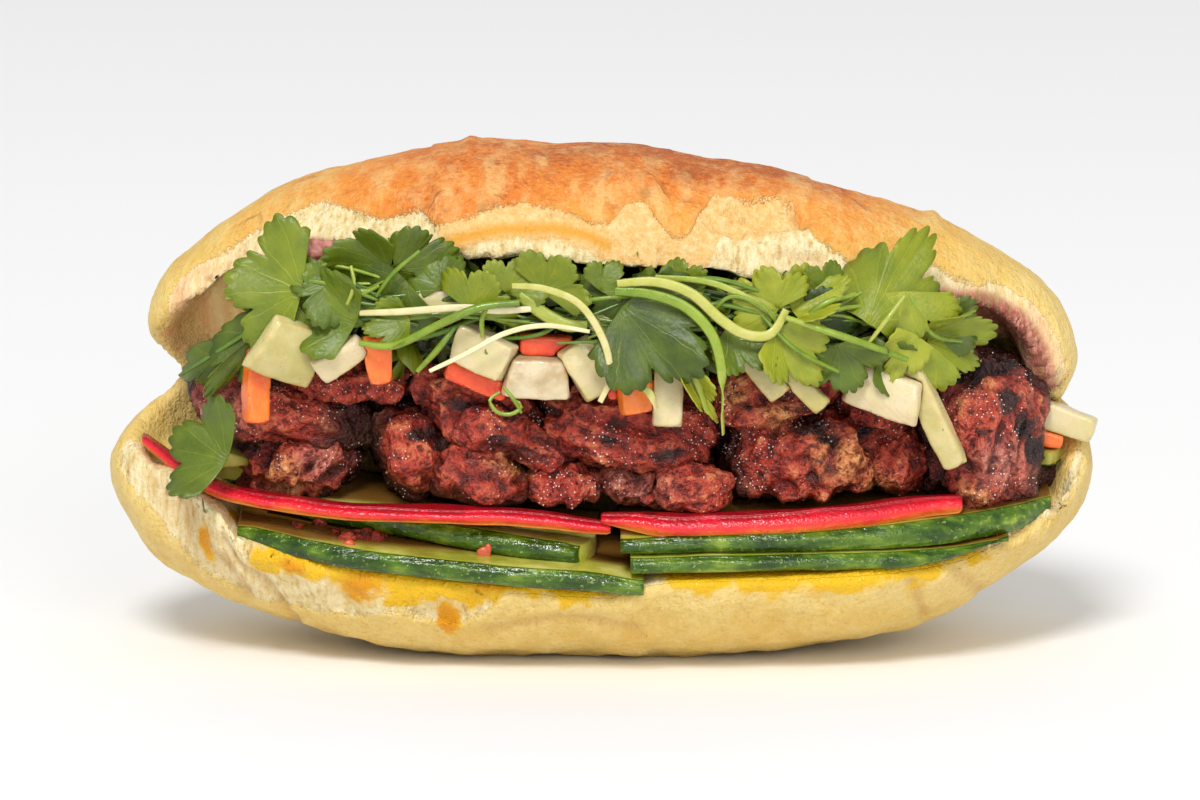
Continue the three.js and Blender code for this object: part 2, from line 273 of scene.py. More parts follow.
def spots(points, places, soft=0.5):
    """1 inside round spots on the board, each (along, up, half width, half height), and 0 outside them."""
    along, up = face_on(points)
    most = np.zeros(len(points))
    for x, level, wide, high in places:
        away = np.hypot((along - x) / wide, (up - level) / high)
        most = np.maximum(most, 1 - step(away, 1 - soft, 1 + soft))
    return most


def from_line(points, line):
    """How far each point lies from a bent line on the board, in mm."""
    place = np.stack(face_on(points), 1)
    nearest = np.full(len(points), 1e9)
    for start, end in zip(np.array(line[:-1], float), np.array(line[1:], float)):
        share = np.clip((place - start) @ (end - start) / ((end - start) @ (end - start)), 0, 1)
        nearest = np.minimum(nearest, np.linalg.norm(place - start - share[:, None] * (end - start), axis=1))
    return nearest


# The bread's surface is found on a grid that reaches just past it, coarser behind, where it is plain.
GRAIN = 0.88  # mm between the points of the surface
axes = (
    np.arange(-103, 103.5, GRAIN),
    grid_axis(-48, 50, GRAIN * 0.9, GRAIN * 2, -10),
    np.arange(-2.1, 107, GRAIN),
)
gx, gy, gz = np.meshgrid(*axes, indexing="ij", sparse=True)
points, quads = skin_of(roll_field(gx, gy, gz), axes)
bread = new_piece("roll_crust_and_crumb", points, quads)

# Where the crust tears away from the upper lip and from the lower one: lines of (along, up) on the board.
UPPER_TEAR = [
    (-97, 50), (-91, 69), (-89, 75), (-86, 82), (-78, 84), (-72, 88), (-68, 89.5), (-63, 90.5), (-58, 92.5),
    (-54, 91.5), (-50, 90), (-46, 88.7), (-42, 88.7), (-37, 89.6), (-34, 87), (-28, 88), (-22, 89.2),
    (-17, 90.3), (-11, 90.5), (-7, 89.2), (-4, 87.8), (0, 88), (3.4, 91.2), (8, 91.6), (9, 89), (13.5, 85.4),
    (16.5, 86.3), (18.5, 89.5), (21, 93.2), (27, 92), (34, 92), (38, 91), (39.5, 87.5), (41, 84.8),
    (44.5, 82.6), (49, 79.5), (53, 78.2), (65, 79.5), (70, 77), (74, 76), (79, 76.4), (84, 73.5), (88, 69),
    (90, 65), (97, 50),
]
LOWER_TEAR = [
    (-100, 40), (-93, 33), (-88, 24), (-83, 18), (-77, 14), (-70, 10.5), (-61, 9), (-46, 8), (-41, 10.4),
    (-31, 6.8), (-25, 9), (-19.5, 12.8), (-13, 14.8), (-5, 13.2), (0, 15), (7, 16.8), (12, 18), (30, 18),
    (60, 19.5), (80, 25), (100, 36),
]
# A second, thinner layer of skin still clings to the crumb below the upper tear, down to this line.
UNDER_SKIN = [(-100, 105), (-36, 105), (-33, 83), (-22, 84.6), (-10, 85), (-4, 83.5), (0, 81.5), (8, 80.6)]
UNDER_SKIN += [(20, 80.6), (23, 86), (40, 86), (42, 105), (100, 105)]
AMBER_BAND = [(-32.6, 83.4), (-22, 86), (-10.3, 86.3), (-4.2, 85), (0, 83)]
# A pit in the torn crumb, as a spot on the board, and the strands of crumb stretched across it.
HOLLOW = (31, 88.6, 10, 3)
STRANDS = [[(21.5, 89.6), (27, 89.2)], [(28, 86.6), (38, 86.2)], [(33, 89.8), (37, 89.4)]]
# Creases and cracks in the crust: (line, half width, depth).
CREASES = [
    ([(-91, 38), (-86.5, 28), (-84, 23.5), (-78.5, 18)], 2.8, 1.5),
    ([(-78, 21.5), (-74, 17.6), (-70.4, 14.8), (-68, 11.4), (-63, 7)], 0.8, 1.2),
    ([(-78.5, 18), (-73.5, 12.4)], 1.3, 1.0),
    ([(61, 15.5), (64, 9.4)], 1.1, 0.8),
    ([(70, 18), (76, 13)], 1.4, 0.7),
    ([(-24, 6), (-10, 8.4), (6, 7)], 1.0, 0.6),
    ([(33.6, 82.4), (43.3, 81.6)], 0.8, 0.9),
    ([(-10.5, 92.2), (-10.9, 88.8)], 0.35, 0.6),
    ([(-36, 99.4), (-30, 99.9)], 0.35, 0.5),
    ([(11.5, 85.4), (10.3, 80.4)], 0.4, 0.6),
    ([(0.2, 88), (3.4, 91.4)], 0.4, 0.5),
    ([(15, 92.6), (20, 91.2)], 0.5, 0.6),
    ([(38, 91), (39.6, 87)], 0.7, 1.0),
]
# Spots on the board: where the crust caught, where sauce soaked in and where it lies thick, the line of
# the smear of pate at the right and its spot at the left, and where the base is browner.
BURNT_DOTS = [(-25, 90.5, 1, 1.1), (7.6, 93.4, 1.2, 1.4), (53, 78.6, 1.7, 1.5), (-80.2, 76.8, 0.8, 0.7)]
SAUCE = [
    (-66, 20, 6, 3.6), (-49.4, 16, 6, 4.6), (-36, 16, 10, 4), (-27, 14.6, 8, 4), (-33, 8, 3, 3.4),
    (-80.6, 23, 1.4, 3.6), (-18, 16, 10, 3.4), (-6, 14.8, 9, 3.2), (4, 17.6, 5, 2.4), (18, 17.6, 7, 4),
    (32, 17.8, 9, 4.6), (46, 17.6, 10, 5), (60, 18.8, 8, 4), (-57, 19, 9, 3),
    (-72, 30, 4, 2.2), (-41, 12.4, 3, 2), (72, 21, 5, 2),
]
SAUCE_THICK = [
    (-49.4, 14.8, 4.4, 3), (-33, 8.2, 2.6, 2.8), (-71, 30, 5, 1.6), (10, 18.4, 3, 1), (-63, 19, 2.6, 1.2),
    (-80.6, 24, 1.2, 3), (-24, 15, 4, 1.2),
]
PATE_RIGHT = [(66, 73), (74, 71.8), (82, 68.6), (87, 63.6), (89.4, 57.5), (88, 53)]
PATE_LEFT = (-59, 82.2, 5.2, 2.8)
BASE_SPOTS = [(-26, 5, 4, 1.4), (-8, 4.6, 5, 1.2), (4, 5, 6, 2), (34, 7, 12, 3.4), (50, 8.6, 8, 2)]

# How far the oven's heat made the top rise, and the height of the fillings' underside, along X.
OVEN_SPRING = [
    (-88, -1.2), (-74, -0.6), (-60, 1.2), (-45, 2), (-22, 2), (-12, 1), (5, 1), (20, -0.4), (35, 0.8),
    (60, 1.2), (85, 2),
]
UNDERSIDE = [
    (-93, 43), (-89, 38.6), (-82, 34.4), (-77.5, 31.4), (-74.5, 26.9), (-56, 22.5), (-29, 19.9), (1, 18),
    (10, 21.2), (50, 22), (72, 22.4), (80, 25), (88, 29),
]
FOLDS = ((-27.6, 98, 102), (65.8, 83, 88))  # upright ridges in the top crust: (along, from, to)
FAR = 9  # mm, a stand-in for well away from any edge
HALVES = 50  # mm, the height where the upper half meets the lower
CRUST_THICK = 0.85  # mm
SKIN_THICK = 0.4  # mm
BLISTERS = 0.26  # mm, how high they stand
PIT_DEPTH = 2.4  # mm
STRAND_HEIGHT = 1.7  # mm
FOLD_HEIGHT = 0.9  # mm
LIP_SAG = 2.4  # mm
END_HOLLOW = 8  # mm, how deep the cut is left at its two ends

x, y, z = points.T
out = normals_of(bread)
along, up = face_on(points)
in_mouth = -outside_mouth(x, y, z) > outside_crust(x, y, z) - 0.2
from_lip = outside_mouth(x, y, z)
front = step(-y, 0, 14)
upper = z > HALVES
ragged = noise(points, 7, 1, 3)
rough = noise(points, 2.6, 2, 2)
fibres = noise(points * (1, 0.5, 0.22), 1.7, 5, 2)

# How far each point lies past the torn edge of the crust, and of the skin below it: less than 0 is crumb.
upper_edge = up - np.interp(along, *zip(*UPPER_TEAR)) + 0.5 * ragged + 0.35 * rough
lower_edge = np.interp(along, *zip(*LOWER_TEAR)) - up + 0.8 * ragged + 0.4 * rough
edge = np.where(upper, upper_edge, lower_edge)
edge = np.where(in_mouth, -3, edge)
edge = np.where(front < 0.02, FAR, edge * front + FAR * (1 - front))
second = np.where(upper, up - np.interp(along, *zip(*UNDER_SKIN)) + 0.6 * ragged, -FAR)
second = np.where(in_mouth, -FAR, second)
crumb = 1 - step(edge, -0.3, 0.3)
hollow = spots(points, [HOLLOW], 0.25) * front * ~in_mouth
strands = sum(np.exp(-((from_line(points, line) / 0.55) ** 2)) for line in STRANDS) * hollow

# Relief in mm: the crust and skin stand above the crumb, with blisters, torn fibres, dents and creases.
lift = CRUST_THICK * step(edge, -0.2, 0.4) + SKIN_THICK * step(second, -0.2, 0.4) - 0.5
blisters = BLISTERS * noise(points, 4.5, 8, 3) * (1 - crumb)
torn = (0.55 * ragged + 0.16 * rough + 0.16 * fibres) * crumb
dents = -PIT_DEPTH * hollow + STRAND_HEIGHT * strands
creased = np.zeros(len(points))
for line, wide, deep in CREASES:
    cut = np.exp(-((from_line(points, line) / wide) ** 2)) * front * ~in_mouth
    dents -= deep * cut
    creased = np.maximum(creased, cut)
# The roll's own unevenness: gentle waves, lumpy ends, its rise in the oven, and two folds in its top.
lumps = 0.45 * np.sin(x / 13 + 1.1) * np.sin(y / 17 + 0.4) + 0.35 * np.sin(x / 7.5 + z / 19)
lumps += 1.2 * noise(points, 17, 14, 2) * step(np.abs(x), 55, 85) * step(70 - z, 0, 20)
lumps += np.interp(x, *zip(*OVEN_SPRING)) * step(z, 60, 86) * ~in_mouth
lumps += (1.6 * step(-x, 72, 90) + 3 * step(x, 76, 92)) * step(z, 50, 60) * step(88 - z, 0, 14)
for place, low, high in FOLDS:
    lumps += FOLD_HEIGHT * np.exp(-(((along - place) / 1.6) ** 2)) * step(up, low, high)
pleats = 0.5 * noise(points * (1, 1, 0.35), 8, 15, 2) * step(45 - z, 0, 20)
# Beside the cut the crumb is pulled out in strings, and the upper lip sags.
near = np.exp(-((from_lip / 5) ** 2)) * crumb
sagging = LIP_SAG * np.exp(-((from_lip / 6) ** 2)) * front * upper * step(90 - np.abs(x), 0, 22)
points = points + out * (lift + blisters + torn + dents + lumps + pleats)[:, None]
points[:, 2] += near * (0.9 * noise(points * (1, 0.3, 0.3), 4.5, 10, 2)) * step(z, 6, 12) - sagging
# The soft floor of the cut and its lower lip rise until they meet the fillings' underside.
under = np.interp(x, *zip(*UNDERSIDE)) - 0.7
pressed = (1 - step(y - lip_front(x), 14, 30)) * step(93 - np.abs(x), 0, 6) * (z < 47)
floor_rise = np.clip(under + 0.12 * (y + 41) - points[:, 2], 0, 9) * in_mouth * step(out[:, 2], -0.1, 0.3)
lip_rise = np.clip(under - lower_lip(x), 0, 5) * np.exp(-((from_lip / 6) ** 2)) * ~in_mouth
points[:, 2] += pressed * (floor_rise + lip_rise)
points[:, 2] = np.maximum(points[:, 2], 0)
# The end walls of the cut are shallow hollows: beyond the fillings their back is drawn towards the lips.
behind = np.clip(points[:, 1] - lip_front(x), 0, None)
hollow_end = np.maximum(step(-x, 60, 72) * step(z, 52, 60), step(x, 62, 72) * step(z, 60, 66)) * in_mouth
hollow_end = hollow_end * step(-outside_crust(x, y, z), 1.5, 9)
points[:, 1] -= hollow_end * (behind - END_HOLLOW * (1 - np.exp(-behind / END_HOLLOW)))
move_points(bread, points)

# Where the bread is toasted, smeared with pate, soaked with sauce, stained orange-pink or browned; with
# painted shade at the lower ends, near the base and along the creases, and painted light lifting the stain in
# the cut's shaded end walls.
toast = 0.9 * step(z + 5 * noise(points, 30, 11, 2), 55, 104) + 0.12 * step(x, -20, 30) * step(up, 90, 98)
toast = toast * (1 - 0.52 * step(x, 46, 94) - 0.5 * step(-x, 28, 86))
# Painted shade: the lower half is darker at its two ends and towards the bottom; the spots on its base are
# browner crust.
toast = toast + 0.1 * step(np.abs(x), 72, 94) * (z < 52)
toast = toast + 0.12 * spots(points, BASE_SPOTS, 0.7) * (z < 40) + 0.12 * step(30 - z, 0, 30)
smear = np.exp(-((from_line(points, PATE_RIGHT) / (5 + 1.6 * ragged)) ** 4)) * step(-points[:, 1], -8, 2)
smear = smear * (in_mouth | (crumb > 0.5)) * (1 - step(outside_mouth(x, y, z), 1.5, 4))
smear = np.maximum(smear, spots(points, [PATE_LEFT], 0.3) * (crumb > 0.5) * front)
sauce = spots(points + 1.6 * np.stack([ragged, ragged, rough], 1), SAUCE, 0.35) * front
thick = spots(points + 1.2 * np.stack([ragged, ragged, rough], 1), SAUCE_THICK, 0.5) * front
# An orange-pink stain at the left end wall of the cut and on the crumb at the upper half's ends, painted pale
# as painted light where the end walls lie in shade.
warm = in_mouth * step(-x, 62, 80) * step(z, 46, 60) * (0.6 + 0.5 * noise(points, 9, 21, 2))
warm = warm + 0.5 * crumb * ~in_mouth * step(np.abs(x), 66, 90) * upper
bread_layers = {
    "edge": edge,
    "second": second,
    "toast": toast,
    "sauce": np.maximum(sauce, thick),
    "thick_sauce": thick,
    "pate": smear,
    "warm": np.clip(warm, 0, 1),
    # Burnt dots where the crust caught, and painted shade along the creases.
    "brown": np.maximum(spots(points, BURNT_DOTS, 0.35), 0.5 * creased),
    "amber": np.exp(-((from_line(points, AMBER_BAND) / 1.3) ** 2)) * (second > 0) * crumb,
}
for layer, values in bread_layers.items():
    paint(bread, layer, values)


def srgb(code):
    """A material's linear colour from its sRGB hex code."""
    parts = [int(code[n : n + 2], 16) / 255 for n in (1, 3, 5)]
    return (*[p / 12.92 if p <= 0.04045 else ((p + 0.055) / 1.055) ** 2.4 for p in parts], 1)


def add(tree, kind, settings=None, **links):
    """Adds a node with its settings; sets or links its inputs by name or _number. Hex codes are colours."""
    node = tree.nodes.new(kind)
    for key, value in (settings or {}).items():
        if key == "stops":
            bands = node.color_ramp.elements
            while len(bands) < len(value):
                bands.new(0.5)
            for band, (place, tint) in zip(bands, value):
                band.position = place
                band.color = srgb(tint) if isinstance(tint, str) else (tint, tint, tint, 1)
        else:
            setattr(node, key, value)
    for key, value in links.items():
        socket = node.inputs[int(key[1:]) if key[0] == "_" else key.replace("_", " ")]
        if isinstance(value, bpy.types.Node):
            value = next(output for output in value.outputs if output.enabled)
        if isinstance(value, bpy.types.NodeSocket):
            tree.links.new(value, socket)
        else:
            socket.default_value = srgb(value) if isinstance(value, str) and value[:1] == "#" else value
    return node


def new_material(name):
    """An empty material and its node tree."""
    material = bpy.data.materials.new(name)
    material.use_nodes = True
    material.node_tree.nodes.clear()
    return material, material.node_tree


# Baked wheat bread: matt, mottled golden-brown crust with fine pale blisters, cream open crumb, and where
# sauce has soaked in, a wet yellow gloss.
BAKED_BREAD, t = new_material("baked_wheat_bread")
place = add(t, "ShaderNodeTexCoord").outputs["Object"]
fine = add(t, "ShaderNodeTexNoise", Vector=place, Scale=PER_MM / 1.5, Detail=4, Roughness=0.65)
speck = add(t, "ShaderNodeTexNoise", Vector=place, Scale=PER_MM / 0.6, Detail=2)
broad = add(t, "ShaderNodeTexNoise", Vector=place, Scale=PER_MM / 13, Detail=3)
upright = add(t, "ShaderNodeMapping", Vector=place, Scale=(1, 0.5, 0.2))
strand = add(t, "ShaderNodeTexNoise", Vector=upright, Scale=PER_MM / 1.1, Detail=3, Roughness=0.6)
edge, second, toast, sauce, thick, pate, warm, brown, amber = (
    add(t, "ShaderNodeAttribute", {"attribute_name": layer}).outputs["Fac"] for layer in bread_layers
)
# The toast layer, its painted shade included, mottled by noise, picks the crust's colour.
toasted = toast
for texture, share in ((fine, 0.5), (broad, 0.34), (speck, 0.16)):
    toasted = add(t, "ShaderNodeMath", {"operation": "MULTIPLY_ADD"}, _0=texture, _1=share, _2=toasted)
toasted = add(t, "ShaderNodeMath", {"operation": "SUBTRACT"}, _0=toasted, _1=0.46)
CRUST_TONES = [(0.0, "#ecd084"), (0.2, "#e2bf66"), (0.38, "#e5b95c"), (0.56, "#e6ac52"), (0.74, "#ea933a")]
CRUST_TONES += [(0.9, "#dc7a2c"), (1.0, "#b85c20")]
crust = add(t, "ShaderNodeValToRGB", {"stops": CRUST_TONES}, _0=toasted)
patch = add(t, "ShaderNodeTexNoise", Vector=upright, Scale=PER_MM / 4.5, Detail=5, Roughness=0.65)
flour = add(t, "ShaderNodeMapRange", _0=patch, _1=0.45, _2=0.66, _3=0.0, _4=0.42)
crust = add(t, "ShaderNodeMix", {"data_type": "RGBA"}, _0=flour, _6=crust, _7="#f4da92")
blister = add(t, "ShaderNodeTexNoise", Vector=place, Scale=PER_MM / 0.9, Detail=3, Roughness=0.6)
pale = add(t, "ShaderNodeMapRange", _0=blister, _1=0.6, _2=0.7, _3=0.0, _4=0.4)
crust = add(t, "ShaderNodeMix", {"data_type": "RGBA"}, _0=pale, _6=crust, _7="#f3cf95")
scorched = add(t, "ShaderNodeMapRange", _0=blister, _1=0.32, _2=0.4, _3=0.35, _4=0.0)
crust = add(t, "ShaderNodeMix", {"data_type": "RGBA"}, _0=scorched, _6=crust, _7="#b8712e")
bent = add(t, "ShaderNodeVectorMath", {"operation": "SCALE"}, _0=fine.outputs["Color"], Scale=1.2 * MM)
bent = add(t, "ShaderNodeVectorMath", {"operation": "ADD"}, _0=place, _1=bent)
cracks = add(t, "ShaderNodeTexVoronoi", {"feature": "DISTANCE_TO_EDGE"}, Vector=bent, Scale=PER_MM / 12)
cracked = add(t, "ShaderNodeMapRange", _0=cracks, _1=0.012, _2=0.04, _3=1.0, _4=0.0)
brittle = add(t, "ShaderNodeMapRange", _0=broad, _1=0.5, _2=0.62, _3=0.0, _4=1.0)
whole_crust = add(t, "ShaderNodeMapRange", _0=edge, _1=0.3, _2=1.5, _3=0.0, _4=1.0)
dry_crust = add(t, "ShaderNodeMapRange", _0=toast, _1=0.2, _2=0.45, _3=0.25, _4=1.0)
for share in (brittle, whole_crust, dry_crust):
    cracked = add(t, "ShaderNodeMath", {"operation": "MULTIPLY"}, _0=cracked, _1=share)
crack_tint = add(t, "ShaderNodeMath", {"operation": "MULTIPLY"}, _0=cracked, _1=0.35)
crust = add(t, "ShaderNodeMix", {"data_type": "RGBA"}, _0=crack_tint, _6=crust, _7="#b0682e")
flesh = add(t, "ShaderNodeMath", {"operation": "MULTIPLY_ADD"}, _0=strand, _1=0.7, _2=0.0)
flesh = add(t, "ShaderNodeMath", {"operation": "MULTIPLY_ADD"}, _0=fine, _1=0.3, _2=flesh)
CRUMB_TONES = [(0.3, "#bc9450"), (0.42, "#dfc588"), (0.58, "#f3e3b4")]
flesh = add(t, "ShaderNodeValToRGB", {"stops": CRUMB_TONES}, _0=flesh)
UNDER_SKIN_TONES = [(0.3, "#e0ac62"), (0.5, "#eac07c"), (0.7, "#f2d49c")]
skin = add(t, "ShaderNodeValToRGB", {"stops": UNDER_SKIN_TONES}, _0=fine)
skin = add(t, "ShaderNodeMix", {"data_type": "RGBA"}, _0=amber, _6=skin, _7="#e2a13c")
jitter = add(t, "ShaderNodeMath", {"operation": "MULTIPLY_ADD"}, _0=speck, _1=1.6, _2=-0.3)
crust_edge = add(t, "ShaderNodeMath", {"operation": "ADD"}, _0=edge, _1=jitter)
skin_edge = add(t, "ShaderNodeMath", {"operation": "ADD"}, _0=second, _1=jitter)
is_crust = add(t, "ShaderNodeValToRGB", {"stops": [(0.4, 0.0), (0.7, 1.0)]}, _0=crust_edge)
is_skin = add(t, "ShaderNodeValToRGB", {"stops": [(0.3, 0.0), (0.8, 1.0)]}, _0=skin_edge)
colour = add(t, "ShaderNodeMix", {"data_type": "RGBA"}, _0=is_skin, _6=flesh, _7=skin)
colour = add(t, "ShaderNodeMix", {"data_type": "RGBA"}, _0=is_crust, _6=colour, _7=crust)
# The stain's tones are lifted nearly to white: painted light on the shaded end walls of the cut.
STAIN_TONES = [(0.38, "#f2a878"), (0.5, "#fac88c"), (0.62, "#ffe4a4")]
stain = add(t, "ShaderNodeValToRGB", {"stops": STAIN_TONES}, _0=patch)
colour = add(t, "ShaderNodeMix", {"data_type": "RGBA"}, _0=warm, _6=colour, _7=stain)
# Burnt dots, and painted shade along the creases, in a warm brown.
browned = add(t, "ShaderNodeMath", {"operation": "MULTIPLY"}, _0=brown, _1=0.6)
colour = add(t, "ShaderNodeMix", {"data_type": "RGBA"}, _0=browned, _6=colour, _7="#b57a3c")
sauce_tone = add(t, "ShaderNodeMix", {"data_type": "RGBA"}, _0=thick, _6="#e9b818", _7="#e09406")
soaked = add(t, "ShaderNodeMath", {"operation": "MULTIPLY_ADD"}, _0=fine, _1=1.3, _2=-0.65)
soaked = add(t, "ShaderNodeMath", {"operation": "ADD", "use_clamp": True}, _0=sauce, _1=soaked)
soaked = add(t, "ShaderNodeMath", {"operation": "MULTIPLY"}, _0=soaked, _1=sauce)
soaked = add(t, "ShaderNodeMath", {"operation": "MULTIPLY", "use_clamp": True}, _0=soaked, _1=1.5)
colour = add(t, "ShaderNodeMix", {"data_type": "RGBA"}, _0=soaked, _6=colour, _7=sauce_tone)
PATE_TONES = [(0.36, "#6f2f28"), (0.5, "#a4574a"), (0.64, "#cf8f78")]
pate_tone = add(t, "ShaderNodeValToRGB", {"stops": PATE_TONES}, _0=strand)
streaked = add(t, "ShaderNodeMath", {"operation": "MULTIPLY_ADD"}, _0=strand, _1=2.4, _2=-1.2)
streaked = add(t, "ShaderNodeMath", {"operation": "ADD", "use_clamp": True}, _0=pate, _1=streaked)
streaked = add(t, "ShaderNodeMath", {"operation": "MULTIPLY"}, _0=streaked, _1=pate)
colour = add(t, "ShaderNodeMix", {"data_type": "RGBA"}, _0=streaked, _6=colour, _7=pate_tone)
height = add(t, "ShaderNodeMath", {"operation": "MULTIPLY_ADD"}, _0=is_crust, _1=-0.5, _2=1.0)
height = add(t, "ShaderNodeMath", {"operation": "MULTIPLY"}, _0=height, _1=strand)
BREAD_RELIEF = ((is_crust, 0.7), (fine, 0.9), (speck, 0.3), (patch, 1.6), (blister, 0.8), (cracked, -0.7))
for texture, share in BREAD_RELIEF:
    height = add(t, "ShaderNodeMath", {"operation": "MULTIPLY_ADD"}, _0=texture, _1=share, _2=height)
relief = add(t, "ShaderNodeBump", Strength=0.8, Distance=0.7 * MM, Height=height)
dry = add(t, "ShaderNodeMath", {"operation": "MULTIPLY_ADD"}, _0=is_crust, _1=-0.32, _2=0.88)
wet = add(t, "ShaderNodeMath", {"operation": "MULTIPLY_ADD"}, _0=soaked, _1=-0.62, _2=dry)
shader = add(
    t, "ShaderNodeBsdfPrincipled", Base_Color=colour, Roughness=wet, Normal=relief, Specular_IOR_Level=0.3
)
add(t, "ShaderNodeOutputMaterial", Surface=shader)

bread.data.materials.append(BAKED_BREAD)
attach(bread, "root")
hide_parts("roll")

# ---------------------------------------------------------------- the grilled pork
# Chunks of marinated pork shoulder, cut across the grain and grilled over charcoal. Each is a pull of
# fibres, shrunk and browned, black where the fire caught its top edges, and wet with fat and marinade.


def kept(piece, name, materials=()):
    """What a piece looks like with its modifiers, as a plain mesh piece in place of it."""
    graph = bpy.context.evaluated_depsgraph_get()
    mesh = bpy.data.meshes.new_from_object(
        piece.evaluated_get(graph), preserve_all_data_layers=True, depsgraph=graph
    )
    bpy.data.objects.remove(piece)
    mesh.name = name
    mesh.polygons.foreach_set("use_smooth", [True] * len(mesh.polygons))
    for material in materials:
        mesh.materials.append(material)
    return placed(name, mesh)


def even_copy(node, name, apart, softened):
    """A CAD node's shape as an even mesh, its points this many mm apart and its edges softened this often."""
    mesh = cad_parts[node].data.copy()
    mesh.materials.clear()
    work = bmesh.new()
    work.from_mesh(mesh)
    bmesh.ops.remove_doubles(work, verts=work.verts, dist=0.001 * MM)
    work.to_mesh(mesh)
    work.free()
    piece = placed(name + "_rough", mesh)
    even = piece.modifiers.new("even", "REMESH")
    even.mode = "VOXEL"
    even.voxel_size = apart * MM
    soften = piece.modifiers.new("soften", "SMOOTH")
    soften.factor = 0.5
    soften.iterations = softened
    return kept(piece, name)


# Glazed grilled pork: red-brown lean meat in streaks, tan fat and black char, under glossy marinade, with
# painted shade in its pits and at the chunks' backs.
GRILLED_PORK, t = new_material("glazed_grilled_pork")
place = add(t, "ShaderNodeTexCoord").outputs["Object"]
char, tan, pink, low, fibre = (
    add(t, "ShaderNodeAttribute", {"attribute_name": layer}).outputs["Fac"]
    for layer in ("char", "tan", "pink", "low", "fibre")
)
blotch = add(t, "ShaderNodeTexNoise", Vector=place, Scale=PER_MM / 6, Detail=4, Roughness=0.65)
mottle = add(t, "ShaderNodeTexNoise", Vector=place, Scale=PER_MM / 1.6, Detail=4, Roughness=0.7)
grain = add(t, "ShaderNodeTexNoise", Vector=place, Scale=PER_MM / 1.1, Detail=2, Roughness=0.5)
tone = add(t, "ShaderNodeMath", {"operation": "MULTIPLY_ADD"}, _0=blotch, _1=0.6, _2=-0.08)
tone = add(t, "ShaderNodeMath", {"operation": "MULTIPLY_ADD"}, _0=mottle, _1=0.55, _2=tone)
tone = add(t, "ShaderNodeMath", {"operation": "MULTIPLY_ADD"}, _0=fibre, _1=0.1, _2=tone)
MEAT_TONES = [(0.3, "#461008"), (0.42, "#882015"), (0.52, "#ae3826"), (0.62, "#c6533a"), (0.74, "#de8c58")]
lean = add(t, "ShaderNodeValToRGB", {"stops": MEAT_TONES}, _0=tone)
TAN_TONES = [(0.36, "#984a22"), (0.5, "#cc7c42"), (0.64, "#e8ac70")]
fat = add(t, "ShaderNodeValToRGB", {"stops": TAN_TONES}, _0=mottle)
PINK_TONES = [(0.36, "#8c4238"), (0.5, "#c26c5c"), (0.66, "#dc9c84")]
rare = add(t, "ShaderNodeValToRGB", {"stops": PINK_TONES}, _0=mottle)
colour = add(t, "ShaderNodeMix", {"data_type": "RGBA"}, _0=tan, _6=lean, _7=fat)
colour = add(t, "ShaderNodeMix", {"data_type": "RGBA"}, _0=pink, _6=colour, _7=rare)
# Painted shade: the low layer darkens the pits and the chunks' backs to nearly black.
sunk = add(t, "ShaderNodeMath", {"operation": "MULTIPLY"}, _0=low, _1=0.92)
colour = add(t, "ShaderNodeMix", {"data_type": "RGBA"}, _0=sunk, _6=colour, _7="#1c0705")
seared = add(t, "ShaderNodeMapRange", _0=mottle, _1=0.38, _2=0.5, _3=0.85, _4=0.0)
colour = add(t, "ShaderNodeMix", {"data_type": "RGBA"}, _0=seared, _6=colour, _7="#4a160d")
burnt = add(t, "ShaderNodeMath", {"operation": "MULTIPLY_ADD"}, _0=mottle, _1=2.4, _2=-1.3)
burnt = add(t, "ShaderNodeMath", {"operation": "ADD"}, _0=char, _1=burnt)
burnt = add(t, "ShaderNodeValToRGB", {"stops": [(0.3, 0.0), (0.75, 0.94)]}, _0=burnt)
colour = add(t, "ShaderNodeMix", {"data_type": "RGBA"}, _0=burnt, _6=colour, _7="#1c110e")
height = add(t, "ShaderNodeMath", {"operation": "MULTIPLY_ADD"}, _0=grain, _1=0.7, _2=mottle)
relief = add(t, "ShaderNodeBump", Strength=1.0, Distance=1.3 * MM, Height=height)
gloss = add(t, "ShaderNodeMapRange", _0=mottle, _1=0.4, _2=0.6, _3=0.34, _4=0.14)
shader = add(
    t, "ShaderNodeBsdfPrincipled", Base_Color=colour, Roughness=gloss, Normal=relief,
    Specular_IOR_Level=0.55,
)
add(t, "ShaderNodeOutputMaterial", Surface=shader)

# Where the fire blackened the chunks, and where pale fat and pink meat show, on the sloping board.
CHARRED = [
    (73.5, 57.5, 3.4, 3.6), (80, 51.5, 2.4, 3), (83.5, 47, 2.4, 3.4), (86, 42.5, 2, 3), (75, 46, 1.2, 1.2),
    (40.3, 45.7, 4.4, 1.9), (51.5, 45.6, 1.5, 1.1), (-74.5, 58, 2, 2), (-37.5, 45.5, 2.4, 1.4),
    (-33, 43, 2, 1.2), (0, 44, 2.6, 1), (-12, 50, 3, 1), (61, 50, 3, 1.2), (-57, 33.5, 2, 1),
    (28, 51, 1.6, 1), (44.6, 44, 3, 1.4), (-28, 51, 4, 1.1), (-21, 44.5, 2.4, 1.2), (12, 42, 3.4, 1),
    (66, 44, 1.6, 3), (-48, 52, 3, 1),
]
FATTY = [
    (46.5, 40.5, 5, 4), (34, 50.5, 3.4, 3), (74, 36, 2.2, 4), (-48.5, 46.5, 3.2, 2.4), (-64.5, 37, 3.6, 3),
    (25, 53.5, 3, 2.6), (-20, 39, 4, 2.4), (54, 36, 3, 3),
]
PINKISH = [(5, 34.5, 7, 4), (-58, 40, 4, 3), (-77, 49, 6, 4), (79, 40, 5, 4)]
